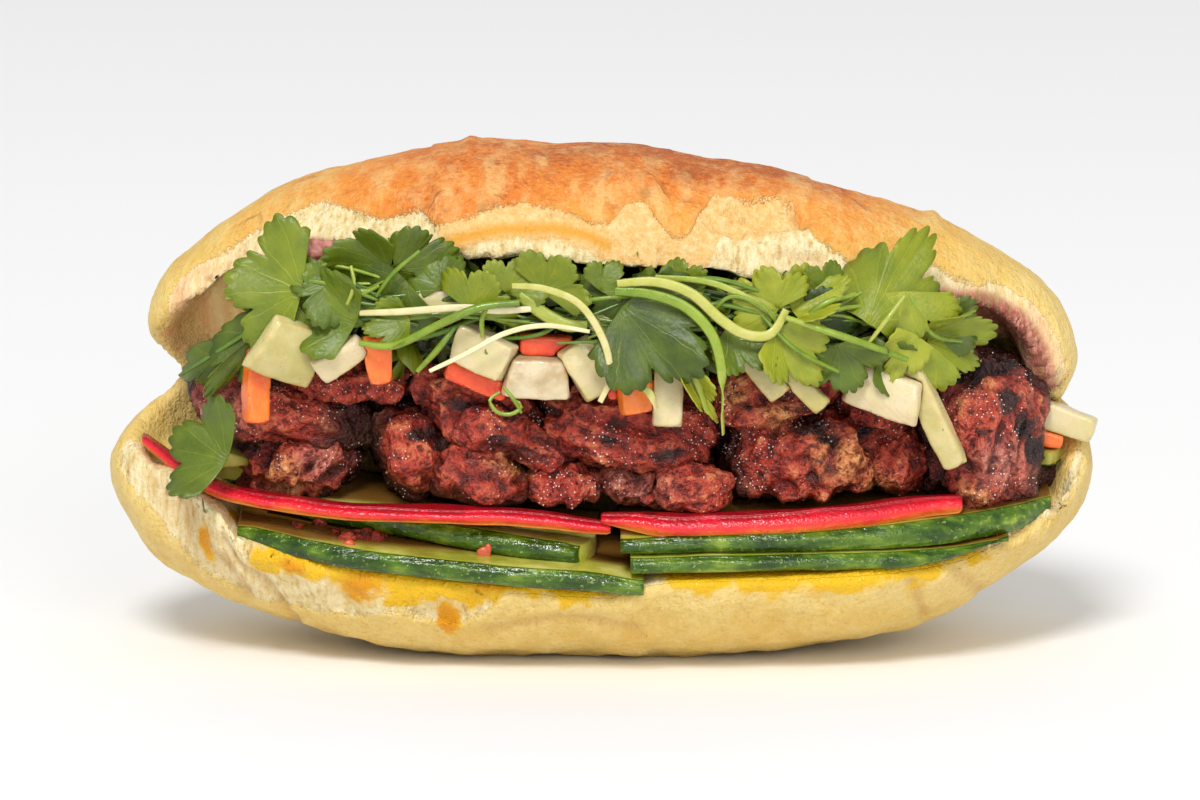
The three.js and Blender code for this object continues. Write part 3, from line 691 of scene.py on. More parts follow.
DIRECTION = {  # which way each chunk's fibres run: along X, Y and Z
    "pork_end": (0.3, 0.2, 1), "pork_front_crisp": (1, 0.3, 0.2), "pork_mid_big": (1, 0.2, -0.3),
    "pork_mid_left": (1, 0.2, -0.35), "pork_right_big": (0.35, 0.3, 1), "pork_left_long": (1, 0.3, -0.1),
    "pork_left_low": (0.6, 0.4, 0.7), "pork_slanted": (0.5, 0.3, -1), "pork_low_middle": (1, 0.2, -0.3),
    "pork_low_small": (0.4, 0.2, 1), "pork_pink": (1, 0.5, 0.1), "pork_high_right": (1, 0.2, 0.15),
    "pork_high_far": (0.7, 0.3, -0.6), "pork_low_right": (0.3, 0.3, 1), "pork_back_right": (0.6, 0.2, -0.8),
    "pork_high_left": (1, 0.2, 0), "pork_high_middle": (1, 0.3, -0.2),
}
MEAT_GRAIN = 0.75  # mm between a chunk's points
# Each chunk is swollen and pitted along its fibres, then charred, fatty or pink in places, with painted shade
# in its pits and towards its back.
for number, (node, direction) in enumerate(DIRECTION.items()):
    chunk = even_copy(node, node + "_grilled", MEAT_GRAIN, 5)
    points = points_of(chunk)
    out = normals_of(chunk)
    along = np.array(direction) / np.linalg.norm(direction)
    squeezed = points - 0.8 * np.outer(points @ along, along)
    lumps = noise(points, 9, 40 + number, 2)
    strands = 1 - 2 * np.abs(noise(squeezed, 3.0, 60 + number, 2))
    crumbs = noise(points, 2.2, 80 + number, 2)
    facets = np.abs(noise(points, 6.5, 20 + number, 1))
    sag = step(-out[:, 1], -0.2, 0.6) * step(-out[:, 2], -0.1, 0.8)
    swell = 0.6 + 0.6 * lumps + 1.3 * strands + 0.4 * crumbs - 2.2 * facets + 0.9 * sag
    char = spots(points + 1.2 * np.stack([crumbs, crumbs, lumps], 1), CHARRED, 0.6)
    upward = step(out[:, 2] + 0.6 * lumps, 0.75, 1.25)
    char = np.maximum(char, 0.8 * upward * step(noise(points, 11, 7, 2), 0, 0.6))
    move_points(chunk, points + out * (swell - 0.25 * char)[:, None])
    paint(chunk, "char", char)
    paint(chunk, "tan", np.clip(spots(points, FATTY, 0.8) * (0.5 + 0.8 * strands), 0, 0.9))
    paint(chunk, "pink", 0.8 * spots(points, PINKISH, 0.8))
    # Painted shade, nearly black, in the pits between lumps and fibres and towards the back, where the chunks
    # crowd into the roll.
    sunken = step(-0.5 * lumps - 0.6 * strands - 0.6 * crumbs + 0.8 * facets, 0.2, 1.1)
    inward = points[:, 1] - lip_front(points[:, 0])
    gap = step(inward - inward.min() + 2.5 * lumps, 5.5, 12)
    paint(chunk, "low", np.maximum(0.75 * sunken, gap))
    paint(chunk, "fibre", strands + 0.4 * crumbs)
    chunk.data.materials.append(GRILLED_PORK)
    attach(chunk, "root")
    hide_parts(node)

# ---------------------------------------------------------------- cucumber planks
# Four planks sawn lengthwise from a cucumber, laid in two pairs along the lower lip. Their front edge is
# the dark, waxy skin; behind it the flesh is pale and wet. Two offcuts lie at the roll's ends.


# A plank's or strip's place is felt with rays on its CAD node, at stations along it, and then smoothed.
STATIONS = 48
PROBE = 0.2  # mm between rays
FACE_DEPTH = 1.6  # mm behind the foremost point that still count as the front face
SMOOTHING = np.array([1, 2, 3, 4, 3, 2, 1]) / 16  # how much each neighbouring station counts


def front_edge(node, stations):
    """A long piece's front face: rows of its X, front Y, lowest and highest Z there, and back Y, in mm."""
    low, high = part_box(node)
    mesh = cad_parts[node].data
    shape = BVHTree.FromPolygons([v.co for v in mesh.vertices], [p.vertices for p in mesh.polygons])
    rows = []
    for x in np.linspace(low.x + PROBE * MM, high.x - PROBE * MM, stations):
        levels = np.arange(low.z + PROBE / 4 * MM, high.z, PROBE * MM)
        hits = [shape.ray_cast(Vector((x, low.y - MM, z)), Vector((0, 1, 0)))[0] for z in levels]
        backs = [shape.ray_cast(Vector((x, high.y + MM, z)), Vector((0, -1, 0)))[0] for z in levels]
        hits = [hit for hit in hits if hit]
        front = min(hit.y for hit in hits)
        face = [hit.z for hit in hits if hit.y < front + FACE_DEPTH * MM]
        rows.append((x, front, min(face), max(face), max(back.y for back in backs if back)))
    rows = np.array(rows) / MM
    padded = np.pad(rows, ((3, 3), (0, 0)), mode="edge")
    smooth = sum(share * padded[3 + n : 3 + n + stations] for n, share in zip(range(-3, 4), SMOOTHING))
    smooth[:, 0] = rows[:, 0]
    return smooth


def bar(name, node, counts, lean, place_point):
    """A long piece along a CAD node's front edge: a closed box of counts squares along, back and up.

    place_point turns a point's share along, depth behind the front and share up, with the node's X, front,
    lowest level, thickness and the rise of its lean there, into its place.
    """
    rows = front_edge(node, STATIONS)
    steps = [np.arange(n + 1) for n in counts]
    i, j, k = np.meshgrid(*steps, indexing="ij")
    surface = (i % counts[0] == 0) | (j % counts[1] == 0) | (k % counts[2] == 0)
    index = np.full(surface.shape, -1)
    index[surface] = np.arange(surface.sum())
    u, v, w = i[surface] / counts[0], (j[surface] / counts[1]) ** 1.8, k[surface] / counts[2]
    quads = []
    for axis in range(3):
        for side in (0, -1):
            sheet = np.take(index, side, axis)
            ring = np.stack([sheet[:-1, :-1], sheet[1:, :-1], sheet[1:, 1:], sheet[:-1, 1:]], -1)
            ring = ring.reshape(-1, 4)
            quads.append(ring if (side == -1) != (axis == 1) else ring[:, ::-1])
    track = np.linspace(0, 1, len(rows))
    x, front, low, high, back = (np.interp(u, track, rows[:, n]) for n in range(5))
    behind = v * (back - front)
    rise = behind * math.tan(math.radians(lean))
    points = place_point(u, behind, w, x, front, low, high - low, rise)
    piece = new_piece(name, points, np.concatenate(quads))
    paint(piece, "behind", behind)
    paint(piece, "share_up", w)
    return piece


def plank(u, behind, w, x, front, low, thick, rise):
    """A cucumber plank: a gently rounded skin face, sharp cut edges and flat cut faces."""
    round_face = 0.9 * np.abs(2 * w - 1) ** 3 * np.exp(-behind / 1.5)
    edge = 0.35 * np.exp(-behind / 0.5) * (1 - 2 * w)
    points = np.stack([x, front + behind + round_face, low + w * thick + rise + edge], 1)
    ripple = 0.22 * noise(points * (0.5, 1, 1), 5, 23, 2)
    return points + np.stack([np.zeros(len(x)), ripple * np.exp(-behind / 3), 0.5 * ripple], 1)


# Wet cucumber: thin dark green waxy skin with paler streaks, a light line under it, then glassy flesh,
# stained in patches and darkened deep behind the front as painted shade.
CUCUMBER_CUT, t = new_material("fresh_cut_cucumber")
place = add(t, "ShaderNodeTexCoord").outputs["Object"]
behind = add(t, "ShaderNodeAttribute", {"attribute_name": "behind"}).outputs["Fac"]
stained = add(t, "ShaderNodeAttribute", {"attribute_name": "stained"}).outputs["Fac"]
stretched = add(t, "ShaderNodeMapping", Vector=place, Scale=(0.22, 1, 1))
streak = add(t, "ShaderNodeTexNoise", Vector=stretched, Scale=PER_MM / 2.2, Detail=3, Roughness=0.6)
cloud = add(t, "ShaderNodeTexNoise", Vector=place, Scale=PER_MM / 7, Detail=3)
grit = add(t, "ShaderNodeTexNoise", Vector=place, Scale=PER_MM / 0.9, Detail=2)
SKIN_TONES = [(0.3, "#142c02"), (0.43, "#2c4c04"), (0.54, "#52720e"), (0.68, "#9cac3a")]
green = add(t, "ShaderNodeMath", {"operation": "MULTIPLY_ADD"}, _0=cloud, _1=0.5, _2=-0.02)
green = add(t, "ShaderNodeMath", {"operation": "MULTIPLY_ADD"}, _0=streak, _1=0.5, _2=green)
peel = add(t, "ShaderNodeValToRGB", {"stops": SKIN_TONES}, _0=green)
freckle = add(t, "ShaderNodeMapRange", _0=grit, _1=0.62, _2=0.7, _3=0.0, _4=0.5)
peel = add(t, "ShaderNodeMix", {"data_type": "RGBA"}, _0=freckle, _6=peel, _7="#a3b45a")
FLESH_TONES = [(0.35, "#a0a437"), (0.5, "#bcbc4e"), (0.66, "#d6d276")]
flesh = add(t, "ShaderNodeValToRGB", {"stops": FLESH_TONES}, _0=cloud)
# Stains, and painted shade deep behind the front, turn the flesh brown.
flesh = add(t, "ShaderNodeMix", {"data_type": "RGBA"}, _0=stained, _6=flesh, _7="#7c5020")
inner = add(t, "ShaderNodeMath", {"operation": "MULTIPLY_ADD"}, _0=grit, _1=0.3, _2=behind)
is_flesh = add(t, "ShaderNodeMapRange", _0=inner, _1=0.75, _2=1.15, _3=0.0, _4=1.0)
is_rim = add(t, "ShaderNodeMapRange", _0=inner, _1=1.0, _2=2.2, _3=1.0, _4=0.0)
rim = add(t, "ShaderNodeMath", {"operation": "MULTIPLY"}, _0=is_rim, _1=0.6)
flesh = add(t, "ShaderNodeMix", {"data_type": "RGBA"}, _0=rim, _6=flesh, _7="#a3b83c")
colour = add(t, "ShaderNodeMix", {"data_type": "RGBA"}, _0=is_flesh, _6=peel, _7=flesh)
height = add(t, "ShaderNodeMath", {"operation": "MULTIPLY_ADD"}, _0=grit, _1=0.35, _2=streak)
waxy = add(t, "ShaderNodeMath", {"operation": "MULTIPLY_ADD"}, _0=is_flesh, _1=-0.8, _2=1.0)
height = add(t, "ShaderNodeMath", {"operation": "MULTIPLY"}, _0=height, _1=waxy)
relief = add(t, "ShaderNodeBump", Strength=0.8, Distance=0.8 * MM, Height=height)
gloss = add(t, "ShaderNodeMapRange", _0=streak, _1=0.35, _2=0.65, _3=0.12, _4=0.3)
shader = add(
    t, "ShaderNodeBsdfPrincipled", Base_Color=colour, Roughness=gloss, Normal=relief,
    Specular_IOR_Level=0.5, Subsurface_Weight=0.08, Subsurface_Scale=0.002,
)
add(t, "ShaderNodeOutputMaterial", Surface=shader)

PLANK_SQUARES = (110, 22, 10)  # along, back and up
PLANK_LEAN = 6.5  # degrees, how much a plank rises towards its back
PLANK_NODES = ("cucumber_left_low", "cucumber_left_high", "cucumber_right_low", "cucumber_right_high")
for node in PLANK_NODES:
    piece = bar(node + "_plank", node, PLANK_SQUARES, PLANK_LEAN, plank)
    points = points_of(piece)
    behind = points[:, 1] - points[:, 1].min()
    x, end = points[:, 0], points[:, 0].max()
    share_up = np.zeros(len(points), np.float32)
    piece.data.attributes["share_up"].data.foreach_get("value", share_up)
    if node == "cucumber_left_high":  # set back at its left, with a slanted cut end
        points[:, 1] += 6 * (1 - step(x, -62, -8))
        points[:, 2] += 0.9 - 1.8 * step(x, -50, end)
        points[:, 0] -= 5 * step(x, end - 8, end) * np.exp(-behind / 4)
    if node == "cucumber_left_low":  # reaches further right, and droops there
        points[:, 2] -= 1.2 * step(x, -8, end)
        points[:, 0] += 4.5 * step(x, -20, end)
    if node == "cucumber_right_high":  # thicker towards its right end
        points[:, 2] += 1.4 * share_up * step(x, 40, 70)
    if node == "cucumber_right_low":  # thinner towards its right end
        points[:, 2] += 2.6 * (1 - share_up) * step(x, 60, end)
    move_points(piece, points)
    patchy = 0.3 * step(noise(points, 9, 3, 2) + 0.5 * ("high" in node), 0.1, 0.8)
    # Orange stains in patches, and painted shade on the flesh deep behind the front, where it runs under the
    # pork.
    paint(piece, "stained", np.maximum(patchy, 0.95 * step(behind, 6, 11)))
    piece.data.materials.append(CUCUMBER_CUT)
    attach(piece, "root")
    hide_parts(node)

OFFCUT_GRAIN = 0.45  # mm between an offcut's points
for node in ("cucumber_chip", "cucumber_end_chip"):
    piece = even_copy(node, node + "_offcut", OFFCUT_GRAIN, 5)
    points = points_of(piece)
    paint(piece, "behind", 0.4 + 3 * step(points[:, 2] - points[:, 2].min(), 0.5, 1.6))
    paint(piece, "stained", 0.25)
    piece.data.materials.append(CUCUMBER_CUT)
    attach(piece, "root")
    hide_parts(node)

# ---------------------------------------------------------------- red pepper strips
# Two long strips of sweet red pepper, laid end to end on the cucumber. The skin is smooth and glossy, orange
# along each strip's lower edge and darker red at its top.


def strip(u, behind, w, x, front, low, thick, rise):
    """A pepper strip: round along its front edge, shallow, thinner at its ends, and fuller at the right."""
    behind = 0.45 * behind
    fuller = step(x, 0, 12)
    front = front - 2 * fuller
    low = low - 0.6 * fuller
    thick = thick * (0.72 + 0.34 * fuller)
    taper = 0.7 + 0.3 * bulge(2 * u - 1, 9)
    x = x + 1.4 * step(u, 0.9, 1) - 1.4 * step(1 - u, 0.9, 1)
    round_face = 1.5 * np.abs(2 * w - 1) ** 2.2 * np.exp(-behind / 1.2)
    middle = low + 0.5 * thick
    height = (w - 0.5) * thick * taper * (1 - 0.18 * np.exp(-behind / 0.4))
    points = np.stack([x, front + behind + round_face, middle + height + rise], 1)
    ripple = 0.3 * noise(points * (0.4, 1, 1), 6, 29, 2)
    return points + np.stack([np.zeros(len(x)), ripple, ripple], 1)


# Sweet pepper: a glassy red skin, orange towards its lower edge and darker red at its top, with oil on it.
PEPPER_FLESH, t = new_material("sweet_red_pepper")
place = add(t, "ShaderNodeTexCoord").outputs["Object"]
share_up = add(t, "ShaderNodeAttribute", {"attribute_name": "share_up"}).outputs["Fac"]
cloud = add(t, "ShaderNodeTexNoise", Vector=place, Scale=PER_MM / 6, Detail=3)
grit = add(t, "ShaderNodeTexNoise", Vector=place, Scale=PER_MM / 0.8, Detail=2)
level = add(t, "ShaderNodeMath", {"operation": "MULTIPLY_ADD"}, _0=cloud, _1=0.9, _2=share_up)
level = add(t, "ShaderNodeMath", {"operation": "SUBTRACT"}, _0=level, _1=0.45)
RED_TONES = [(0.0, "#f08a30"), (0.24, "#ee5226"), (0.44, "#e42a2a"), (0.75, "#d6142c"), (1.0, "#a40c1c")]
colour = add(t, "ShaderNodeValToRGB", {"stops": RED_TONES}, _0=level)
relief = add(t, "ShaderNodeBump", Strength=0.6, Distance=0.5 * MM, Height=grit)
gloss = add(t, "ShaderNodeMapRange", _0=cloud, _1=0.35, _2=0.65, _3=0.1, _4=0.3)
shader = add(
    t, "ShaderNodeBsdfPrincipled", Base_Color=colour, Roughness=gloss, Normal=relief,
    Specular_IOR_Level=0.5, Subsurface_Weight=0.12, Subsurface_Scale=0.002,
)
add(t, "ShaderNodeOutputMaterial", Surface=shader)

STRIP_SQUARES = (120, 14, 10)  # along, back and up
for node in ("pepper_left", "pepper_right"):
    piece = bar(node + "_strip", node, STRIP_SQUARES, 0, strip)
    piece.data.materials.append(PEPPER_FLESH)
    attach(piece, "root")
    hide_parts(node)

# ---------------------------------------------------------------- pickled radish and carrot
# Knife-cut blocks and sticks of white radish and carrot, pickled in vinegar until they turn glassy at the
# edges, and a slice of spring onion stalk. They lie on the pork, under the coriander.

# Pickled white radish: wet, faintly see-through ivory, yellower at some edges, with specks of pepper.
PICKLED_RADISH, t = new_material("pickled_white_radish")
place = add(t, "ShaderNodeTexCoord").outputs["Object"]
tone = add(t, "ShaderNodeAttribute", {"attribute_name": "tone"}).outputs["Fac"]
corner = add(t, "ShaderNodeAttribute", {"attribute_name": "corner"}).outputs["Fac"]
cloud = add(t, "ShaderNodeTexNoise", Vector=place, Scale=PER_MM / 5, Detail=3)
fibre = add(t, "ShaderNodeTexNoise", Vector=place, Scale=PER_MM / 1.1, Detail=3)
grit = add(t, "ShaderNodeTexNoise", Vector=place, Scale=PER_MM / 0.8, Detail=1)
level = add(t, "ShaderNodeMath", {"operation": "MULTIPLY_ADD"}, _0=cloud, _1=0.7, _2=tone)
level = add(t, "ShaderNodeMath", {"operation": "MULTIPLY_ADD"}, _0=fibre, _1=0.2, _2=level)
level = add(t, "ShaderNodeMath", {"operation": "SUBTRACT"}, _0=level, _1=0.45)
IVORY = [(0.0, "#bdb268"), (0.3, "#d3c58c"), (0.55, "#dccba0"), (0.8, "#dccdaa"), (1.0, "#c0a67c")]
colour = add(t, "ShaderNodeValToRGB", {"stops": IVORY}, _0=level)
edge_tint = add(t, "ShaderNodeMath", {"operation": "MULTIPLY"}, _0=corner, _1=0.55)
colour = add(t, "ShaderNodeMix", {"data_type": "RGBA"}, _0=edge_tint, _6=colour, _7="#d6a85e")
is_speck = add(t, "ShaderNodeMapRange", _0=grit, _1=0.76, _2=0.8, _3=0.0, _4=0.8)
colour = add(t, "ShaderNodeMix", {"data_type": "RGBA"}, _0=is_speck, _6=colour, _7="#8a5a2c")
relief = add(t, "ShaderNodeBump", Strength=0.25, Distance=0.3 * MM, Height=fibre)
gloss = add(t, "ShaderNodeMapRange", _0=cloud, _1=0.35, _2=0.65, _3=0.16, _4=0.36)
shader = add(
    t, "ShaderNodeBsdfPrincipled", Base_Color=colour, Roughness=gloss, Normal=relief, Coat_Weight=0.3,
    Coat_Roughness=0.08, Subsurface_Weight=0.3, Subsurface_Scale=0.003,
)
add(t, "ShaderNodeOutputMaterial", Surface=shader)

# Pickled carrot: wet orange, red to yellow-orange from piece to piece, and paler along its edges.
PICKLED_CARROT, t = new_material("pickled_carrot")
place = add(t, "ShaderNodeTexCoord").outputs["Object"]
tone = add(t, "ShaderNodeAttribute", {"attribute_name": "tone"}).outputs["Fac"]
corner = add(t, "ShaderNodeAttribute", {"attribute_name": "corner"}).outputs["Fac"]
cloud = add(t, "ShaderNodeTexNoise", Vector=place, Scale=PER_MM / 4, Detail=3)
fibre = add(t, "ShaderNodeTexNoise", Vector=place, Scale=PER_MM / 0.9, Detail=3)
level = add(t, "ShaderNodeMath", {"operation": "MULTIPLY_ADD"}, _0=cloud, _1=0.6, _2=tone)
level = add(t, "ShaderNodeMath", {"operation": "MULTIPLY_ADD"}, _0=fibre, _1=0.25, _2=level)
level = add(t, "ShaderNodeMath", {"operation": "SUBTRACT"}, _0=level, _1=0.42)
ORANGE = [(0.0, "#e03416"), (0.3, "#f65c22"), (0.6, "#ff7f26"), (0.85, "#ff9422"), (1.0, "#ffac36")]
colour = add(t, "ShaderNodeValToRGB", {"stops": ORANGE}, _0=level)
edge_tint = add(t, "ShaderNodeMath", {"operation": "MULTIPLY"}, _0=corner, _1=0.5)
colour = add(t, "ShaderNodeMix", {"data_type": "RGBA"}, _0=edge_tint, _6=colour, _7="#ffb27a")
relief = add(t, "ShaderNodeBump", Strength=0.35, Distance=0.3 * MM, Height=fibre)
gloss = add(t, "ShaderNodeMapRange", _0=cloud, _1=0.35, _2=0.65, _3=0.2, _4=0.45)
shader = add(
    t, "ShaderNodeBsdfPrincipled", Base_Color=colour, Roughness=gloss, Normal=relief, Coat_Weight=0.25,
    Coat_Roughness=0.1, Subsurface_Weight=0.25, Subsurface_Scale=0.003,
)
add(t, "ShaderNodeOutputMaterial", Surface=shader)

# Each piece, and how its colour sits between the two ends of its kind's range.
RADISH = {
    "radish_flap": 0.12, "radish_flap_tip": 0.55, "radish_cube": 0.45, "radish_block": 0.85,
    "radish_wedge": 0.36, "radish_plank": 0.42, "radish_slant": 0.2, "radish_slant_end": 0.08,
    "radish_round": 0.55, "radish_stick": 0.2, "radish_end_bar": 0.4, "radish_deep": 0.5,
    "onion_stalk": 0.02,
}
CARROT = {
    "carrot_stick": 0.5, "carrot_round": 0.42, "carrot_slab": 0.2, "carrot_behind": 0.15,
    "carrot_block": 0.62, "carrot_sliver": -0.1, "carrot_hidden": 0.0, "carrot_end": 0.5,
}
CUT_KINDS = ((RADISH, PICKLED_RADISH, "pickled_radish"), (CARROT, PICKLED_CARROT, "carrot"))


def sharpness(piece, out):
    """From 0 on a piece's flat faces to 1 along its edges, where its normals differ most."""
    ends = np.array([edge.vertices[:] for edge in piece.data.edges])
    mean = out.copy()
    for _ in range(3):
        wider = mean.copy()
        np.add.at(wider, ends[:, 0], mean[ends[:, 1]])
        np.add.at(wider, ends[:, 1], mean[ends[:, 0]])
        mean = wider / 5
    return step(1 - np.linalg.norm(mean, axis=1), 0.02, 0.2)


CUT_GRAIN = 0.42  # mm between a cut piece's points
for pieces, material, slot in CUT_KINDS:
    for number, (node, tone) in enumerate(pieces.items()):
        piece = even_copy(node, node + "_cut", CUT_GRAIN, 4)
        points = points_of(piece)
        out = normals_of(piece)
        sharp = sharpness(piece, out)
        move_points(piece, points + out * (0.12 * noise(points, 3, 90 + number, 2) + 0.1)[:, None])
        paint(piece, "corner", sharp * (0.5 + 0.5 * noise(points, 4, 70 + number)))
        # Painted light and shade: each piece's tone is raised on upward faces and lowered on downward ones,
        # mostly lighter on top.
        paint(piece, "tone", tone + 0.12 * out[:, 2])
        piece.data.materials.append(material)
        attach(piece, "root")
        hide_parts(node)

# ---------------------------------------------------------------- the heap of herbs
# A handful of fresh coriander: toothed, fan-shaped leaves on thin stalks, with shreds of spring onion
# from green to white. It is pushed in loosely on top of the pork and spills out over the lower fillings.

FRONT = -42  # mm, the depth where heights in this section are read
BOARD_TILT = math.tan(SLOPE)
LEAF_SPREAD = 1.5  # radians from a leaf's middle vein to its side


def seen_at(x, z, y):
    """A place at depth y that lies in line, along the sloping board, with height z at the front."""
    return Vector((x, y, z - BOARD_TILT * (y - FRONT)))


def leaf_shape(samples, rings, teeth, cup, curl, waves, turn):
    """A leaf 1 long, its stalk's end at the origin and its tip along X: points, faces, veins and reach."""
    angle = np.linspace(-LEAF_SPREAD, LEAF_SPREAD, samples + 1)
    lobes = 0.92 + 0.08 * np.cos(6 * angle) - 0.12 * (np.abs(angle) / LEAF_SPREAD) ** 4
    notches = 1 - 0.2 * np.exp(-(((np.abs(angle) - 0.52) / 0.06) ** 2))
    scallops = 0.9 + 0.1 * np.abs(np.cos(teeth * angle + turn)) ** 0.6
    edge = lobes * notches * scallops
    share = np.arange(1, rings + 1) / rings
    reach = np.outer(share, edge)
    x, y = reach * np.cos(angle), reach * np.sin(angle)
    z = cup * y**2 + waves * np.sin(4.3 * angle + turn) * share[:, None] ** 2
    z = z + 0.4 * waves * np.sin(9.1 * angle + 2 * turn) * share[:, None] ** 3
    bend = curl if abs(curl) > 0.01 else 0.01
    x, z = np.sin(bend * x) / bend, z + (1 - np.cos(bend * x)) / bend
    points = np.concatenate([[[0, 0, 0]], np.stack([x, y, z], -1).reshape(-1, 3)])
    row = samples + 1
    faces = [(0, 1 + n, 2 + n) for n in range(samples)]
    for ring in range(rings - 1):
        first = 1 + ring * row + np.arange(samples)
        faces += np.stack([first, first + row, first + row + 1, first + 1], 1).tolist()
    veins = np.concatenate([[0], np.tile(angle, rings)]) * 3.5 / LEAF_SPREAD
    return points, faces, veins, np.concatenate([[0], np.repeat(share, row)])


def grown(name, host, tree, **given):
    """A mesh piece grown from a host by a Geometry Nodes tree, whose inputs are given by name."""
    grow = host.modifiers.new("grow", "NODES")
    grow.node_group = tree
    for item in tree.interface.items_tree:
        if item.item_type == "SOCKET" and item.in_out == "INPUT" and item.name in given:
            grow[item.identifier] = given[item.name]
    return kept(host, name)


def new_tree(name, **inputs):
    """A Geometry Nodes tree that takes a mesh and the inputs named, each with its kind of socket."""
    tree = bpy.data.node_groups.new(name, "GeometryNodeTree")
    tree.interface.new_socket("Geometry", in_out="INPUT", socket_type="NodeSocketGeometry")
    for label, kind in inputs.items():
        tree.interface.new_socket(label, in_out="INPUT", socket_type="NodeSocket" + kind)
    tree.interface.new_socket("Geometry", in_out="OUTPUT", socket_type="NodeSocketGeometry")
    return tree, add(tree, "NodeGroupInput").outputs


# Fresh coriander leaf: satiny mid green with a fan of fine pale veins, thin enough to glow a little.
CORIANDER_LEAF, t = new_material("fresh_coriander_leaf")
place = add(t, "ShaderNodeTexCoord").outputs["Object"]
shade, veins, reach = (
    add(t, "ShaderNodeAttribute", {"attribute_name": layer}).outputs["Fac"]
    for layer in ("shade", "veins", "reach")
)
cloud = add(t, "ShaderNodeTexNoise", Vector=place, Scale=PER_MM / 5, Detail=3)
cells = add(t, "ShaderNodeTexVoronoi", {"feature": "DISTANCE_TO_EDGE"}, Vector=place, Scale=PER_MM / 1.3)
wander = add(t, "ShaderNodeMath", {"operation": "MULTIPLY_ADD"}, _0=cloud, _1=0.5, _2=veins)
wander = add(t, "ShaderNodeMath", {"operation": "ADD"}, _0=wander, _1=20.25)
away = add(t, "ShaderNodeMath", {"operation": "PINGPONG"}, _0=wander, _1=0.5)
wide = add(t, "ShaderNodeMath", {"operation": "MULTIPLY"}, _0=away, _1=reach)
is_vein = add(t, "ShaderNodeMapRange", _0=wide, _1=0.004, _2=0.03, _3=0.6, _4=0.0)
tone = add(t, "ShaderNodeMath", {"operation": "MULTIPLY_ADD"}, _0=cloud, _1=0.36, _2=shade)
tone = add(t, "ShaderNodeMath", {"operation": "SUBTRACT"}, _0=tone, _1=0.18)
GREENS = [(0.0, "#182406"), (0.22, "#354808"), (0.45, "#5e720e"), (0.65, "#859018"), (0.85, "#aaad2e")]
GREENS += [(1.0, "#c4c250")]
leaf_tone = add(t, "ShaderNodeValToRGB", {"stops": GREENS}, _0=tone)
vein_tone = add(t, "ShaderNodeMath", {"operation": "ADD"}, _0=tone, _1=0.15)
vein_tone = add(t, "ShaderNodeValToRGB", {"stops": GREENS}, _0=vein_tone)
colour = add(t, "ShaderNodeMix", {"data_type": "RGBA"}, _0=is_vein, _6=leaf_tone, _7=vein_tone)
height = add(t, "ShaderNodeMath", {"operation": "MULTIPLY_ADD"}, _0=is_vein, _1=-0.8, _2=cells)
relief = add(t, "ShaderNodeBump", Strength=0.4, Distance=0.3 * MM, Height=height)
shader = add(
    t, "ShaderNodeBsdfPrincipled", Base_Color=colour, Roughness=0.42, Normal=relief, Subsurface_Weight=0.15,
    Subsurface_Scale=0.001,
)
add(t, "ShaderNodeOutputMaterial", Surface=shader)

# The close-packed inside of the heap, as a core that only shows between the leaves, painted dark as shade
# deep in the heap.
CORE_GRAIN = 1.4  # mm between the core's points
CORE_SUNK = 3.4  # mm, how far inside the heap's outline it lies
CORE_LEAFY = 2.2  # mm, how high its leafy relief stands
core = even_copy("coriander", "coriander_heap_core", CORE_GRAIN, 5)
points = points_of(core)
out = normals_of(core)
leafy = np.abs(noise(points, 7, 31, 2))
move_points(core, points + out * (-CORE_SUNK + CORE_LEAFY * leafy)[:, None])
# Painted shade: the core is darker than the leaves over it, with painted light making it lighter where its
# relief stands out.
paint(core, "shade", -0.1 + 0.35 * leafy)
paint(core, "veins", 3 * noise(points, 6, 33, 2))
paint(core, "reach", 1)
core.data.materials.append(CORIANDER_LEAF)
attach(core, "root")
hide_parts("coriander")

# Small leaves strewn over the core: three shapes, each turned, sized and shaded at random.
tree, given = new_tree(
    "strewn_leaves", Leaf_1="Object", Leaf_2="Object", Leaf_3="Object", Apart="Float", Length="Float",
    Seed="Int", Leaf_finish="Material",
)
LEAVES_PER_M2 = 90000.0  # before those too near each other are dropped
strewn = add(tree, "GeometryNodeJoinGeometry")
reached = add(tree, "GeometryNodeInputNamedAttribute", Name="strew")
for number in (1, 2, 3):
    seed = add(tree, "ShaderNodeMath", {"operation": "ADD"}, _0=given["Seed"], _1=number * 10)
    spread = add(
        tree, "GeometryNodeDistributePointsOnFaces", {"distribute_method": "POISSON"}, Mesh=given["Geometry"],
        Distance_Min=given["Apart"], Density_Max=LEAVES_PER_M2, Density_Factor=reached, Seed=seed,
    )
    tilt = add(
        tree, "FunctionNodeRandomValue", {"data_type": "FLOAT_VECTOR"}, Min=(-0.95, -0.95, -3.14),
        Max=(0.95, 0.95, 3.14), Seed=seed,
    )
    turned = add(
        tree, "FunctionNodeRotateRotation", {"rotation_space": "LOCAL"}, Rotation=spread.outputs["Rotation"],
        Rotate_By=tilt,
    )
    size = add(tree, "FunctionNodeRandomValue", _2=0.65, _3=1.25, Seed=seed)
    size = add(tree, "ShaderNodeMath", {"operation": "MULTIPLY"}, _0=size.outputs[1], _1=given["Length"])
    shape = add(tree, "GeometryNodeObjectInfo", Object=given[f"Leaf_{number}"])
    leaves = add(
        tree, "GeometryNodeInstanceOnPoints", Points=spread, Instance=shape.outputs["Geometry"],
        Rotation=turned, Scale=size,
    )
    shade = add(tree, "FunctionNodeRandomValue", _2=0.0, _3=0.56, Seed=seed)
    shaded = add(
        tree, "GeometryNodeStoreNamedAttribute", {"domain": "INSTANCE"}, Geometry=leaves, Name="shade",
        Value=shade.outputs[1],
    )
    tree.links.new(shaded.outputs["Geometry"], strewn.inputs["Geometry"])
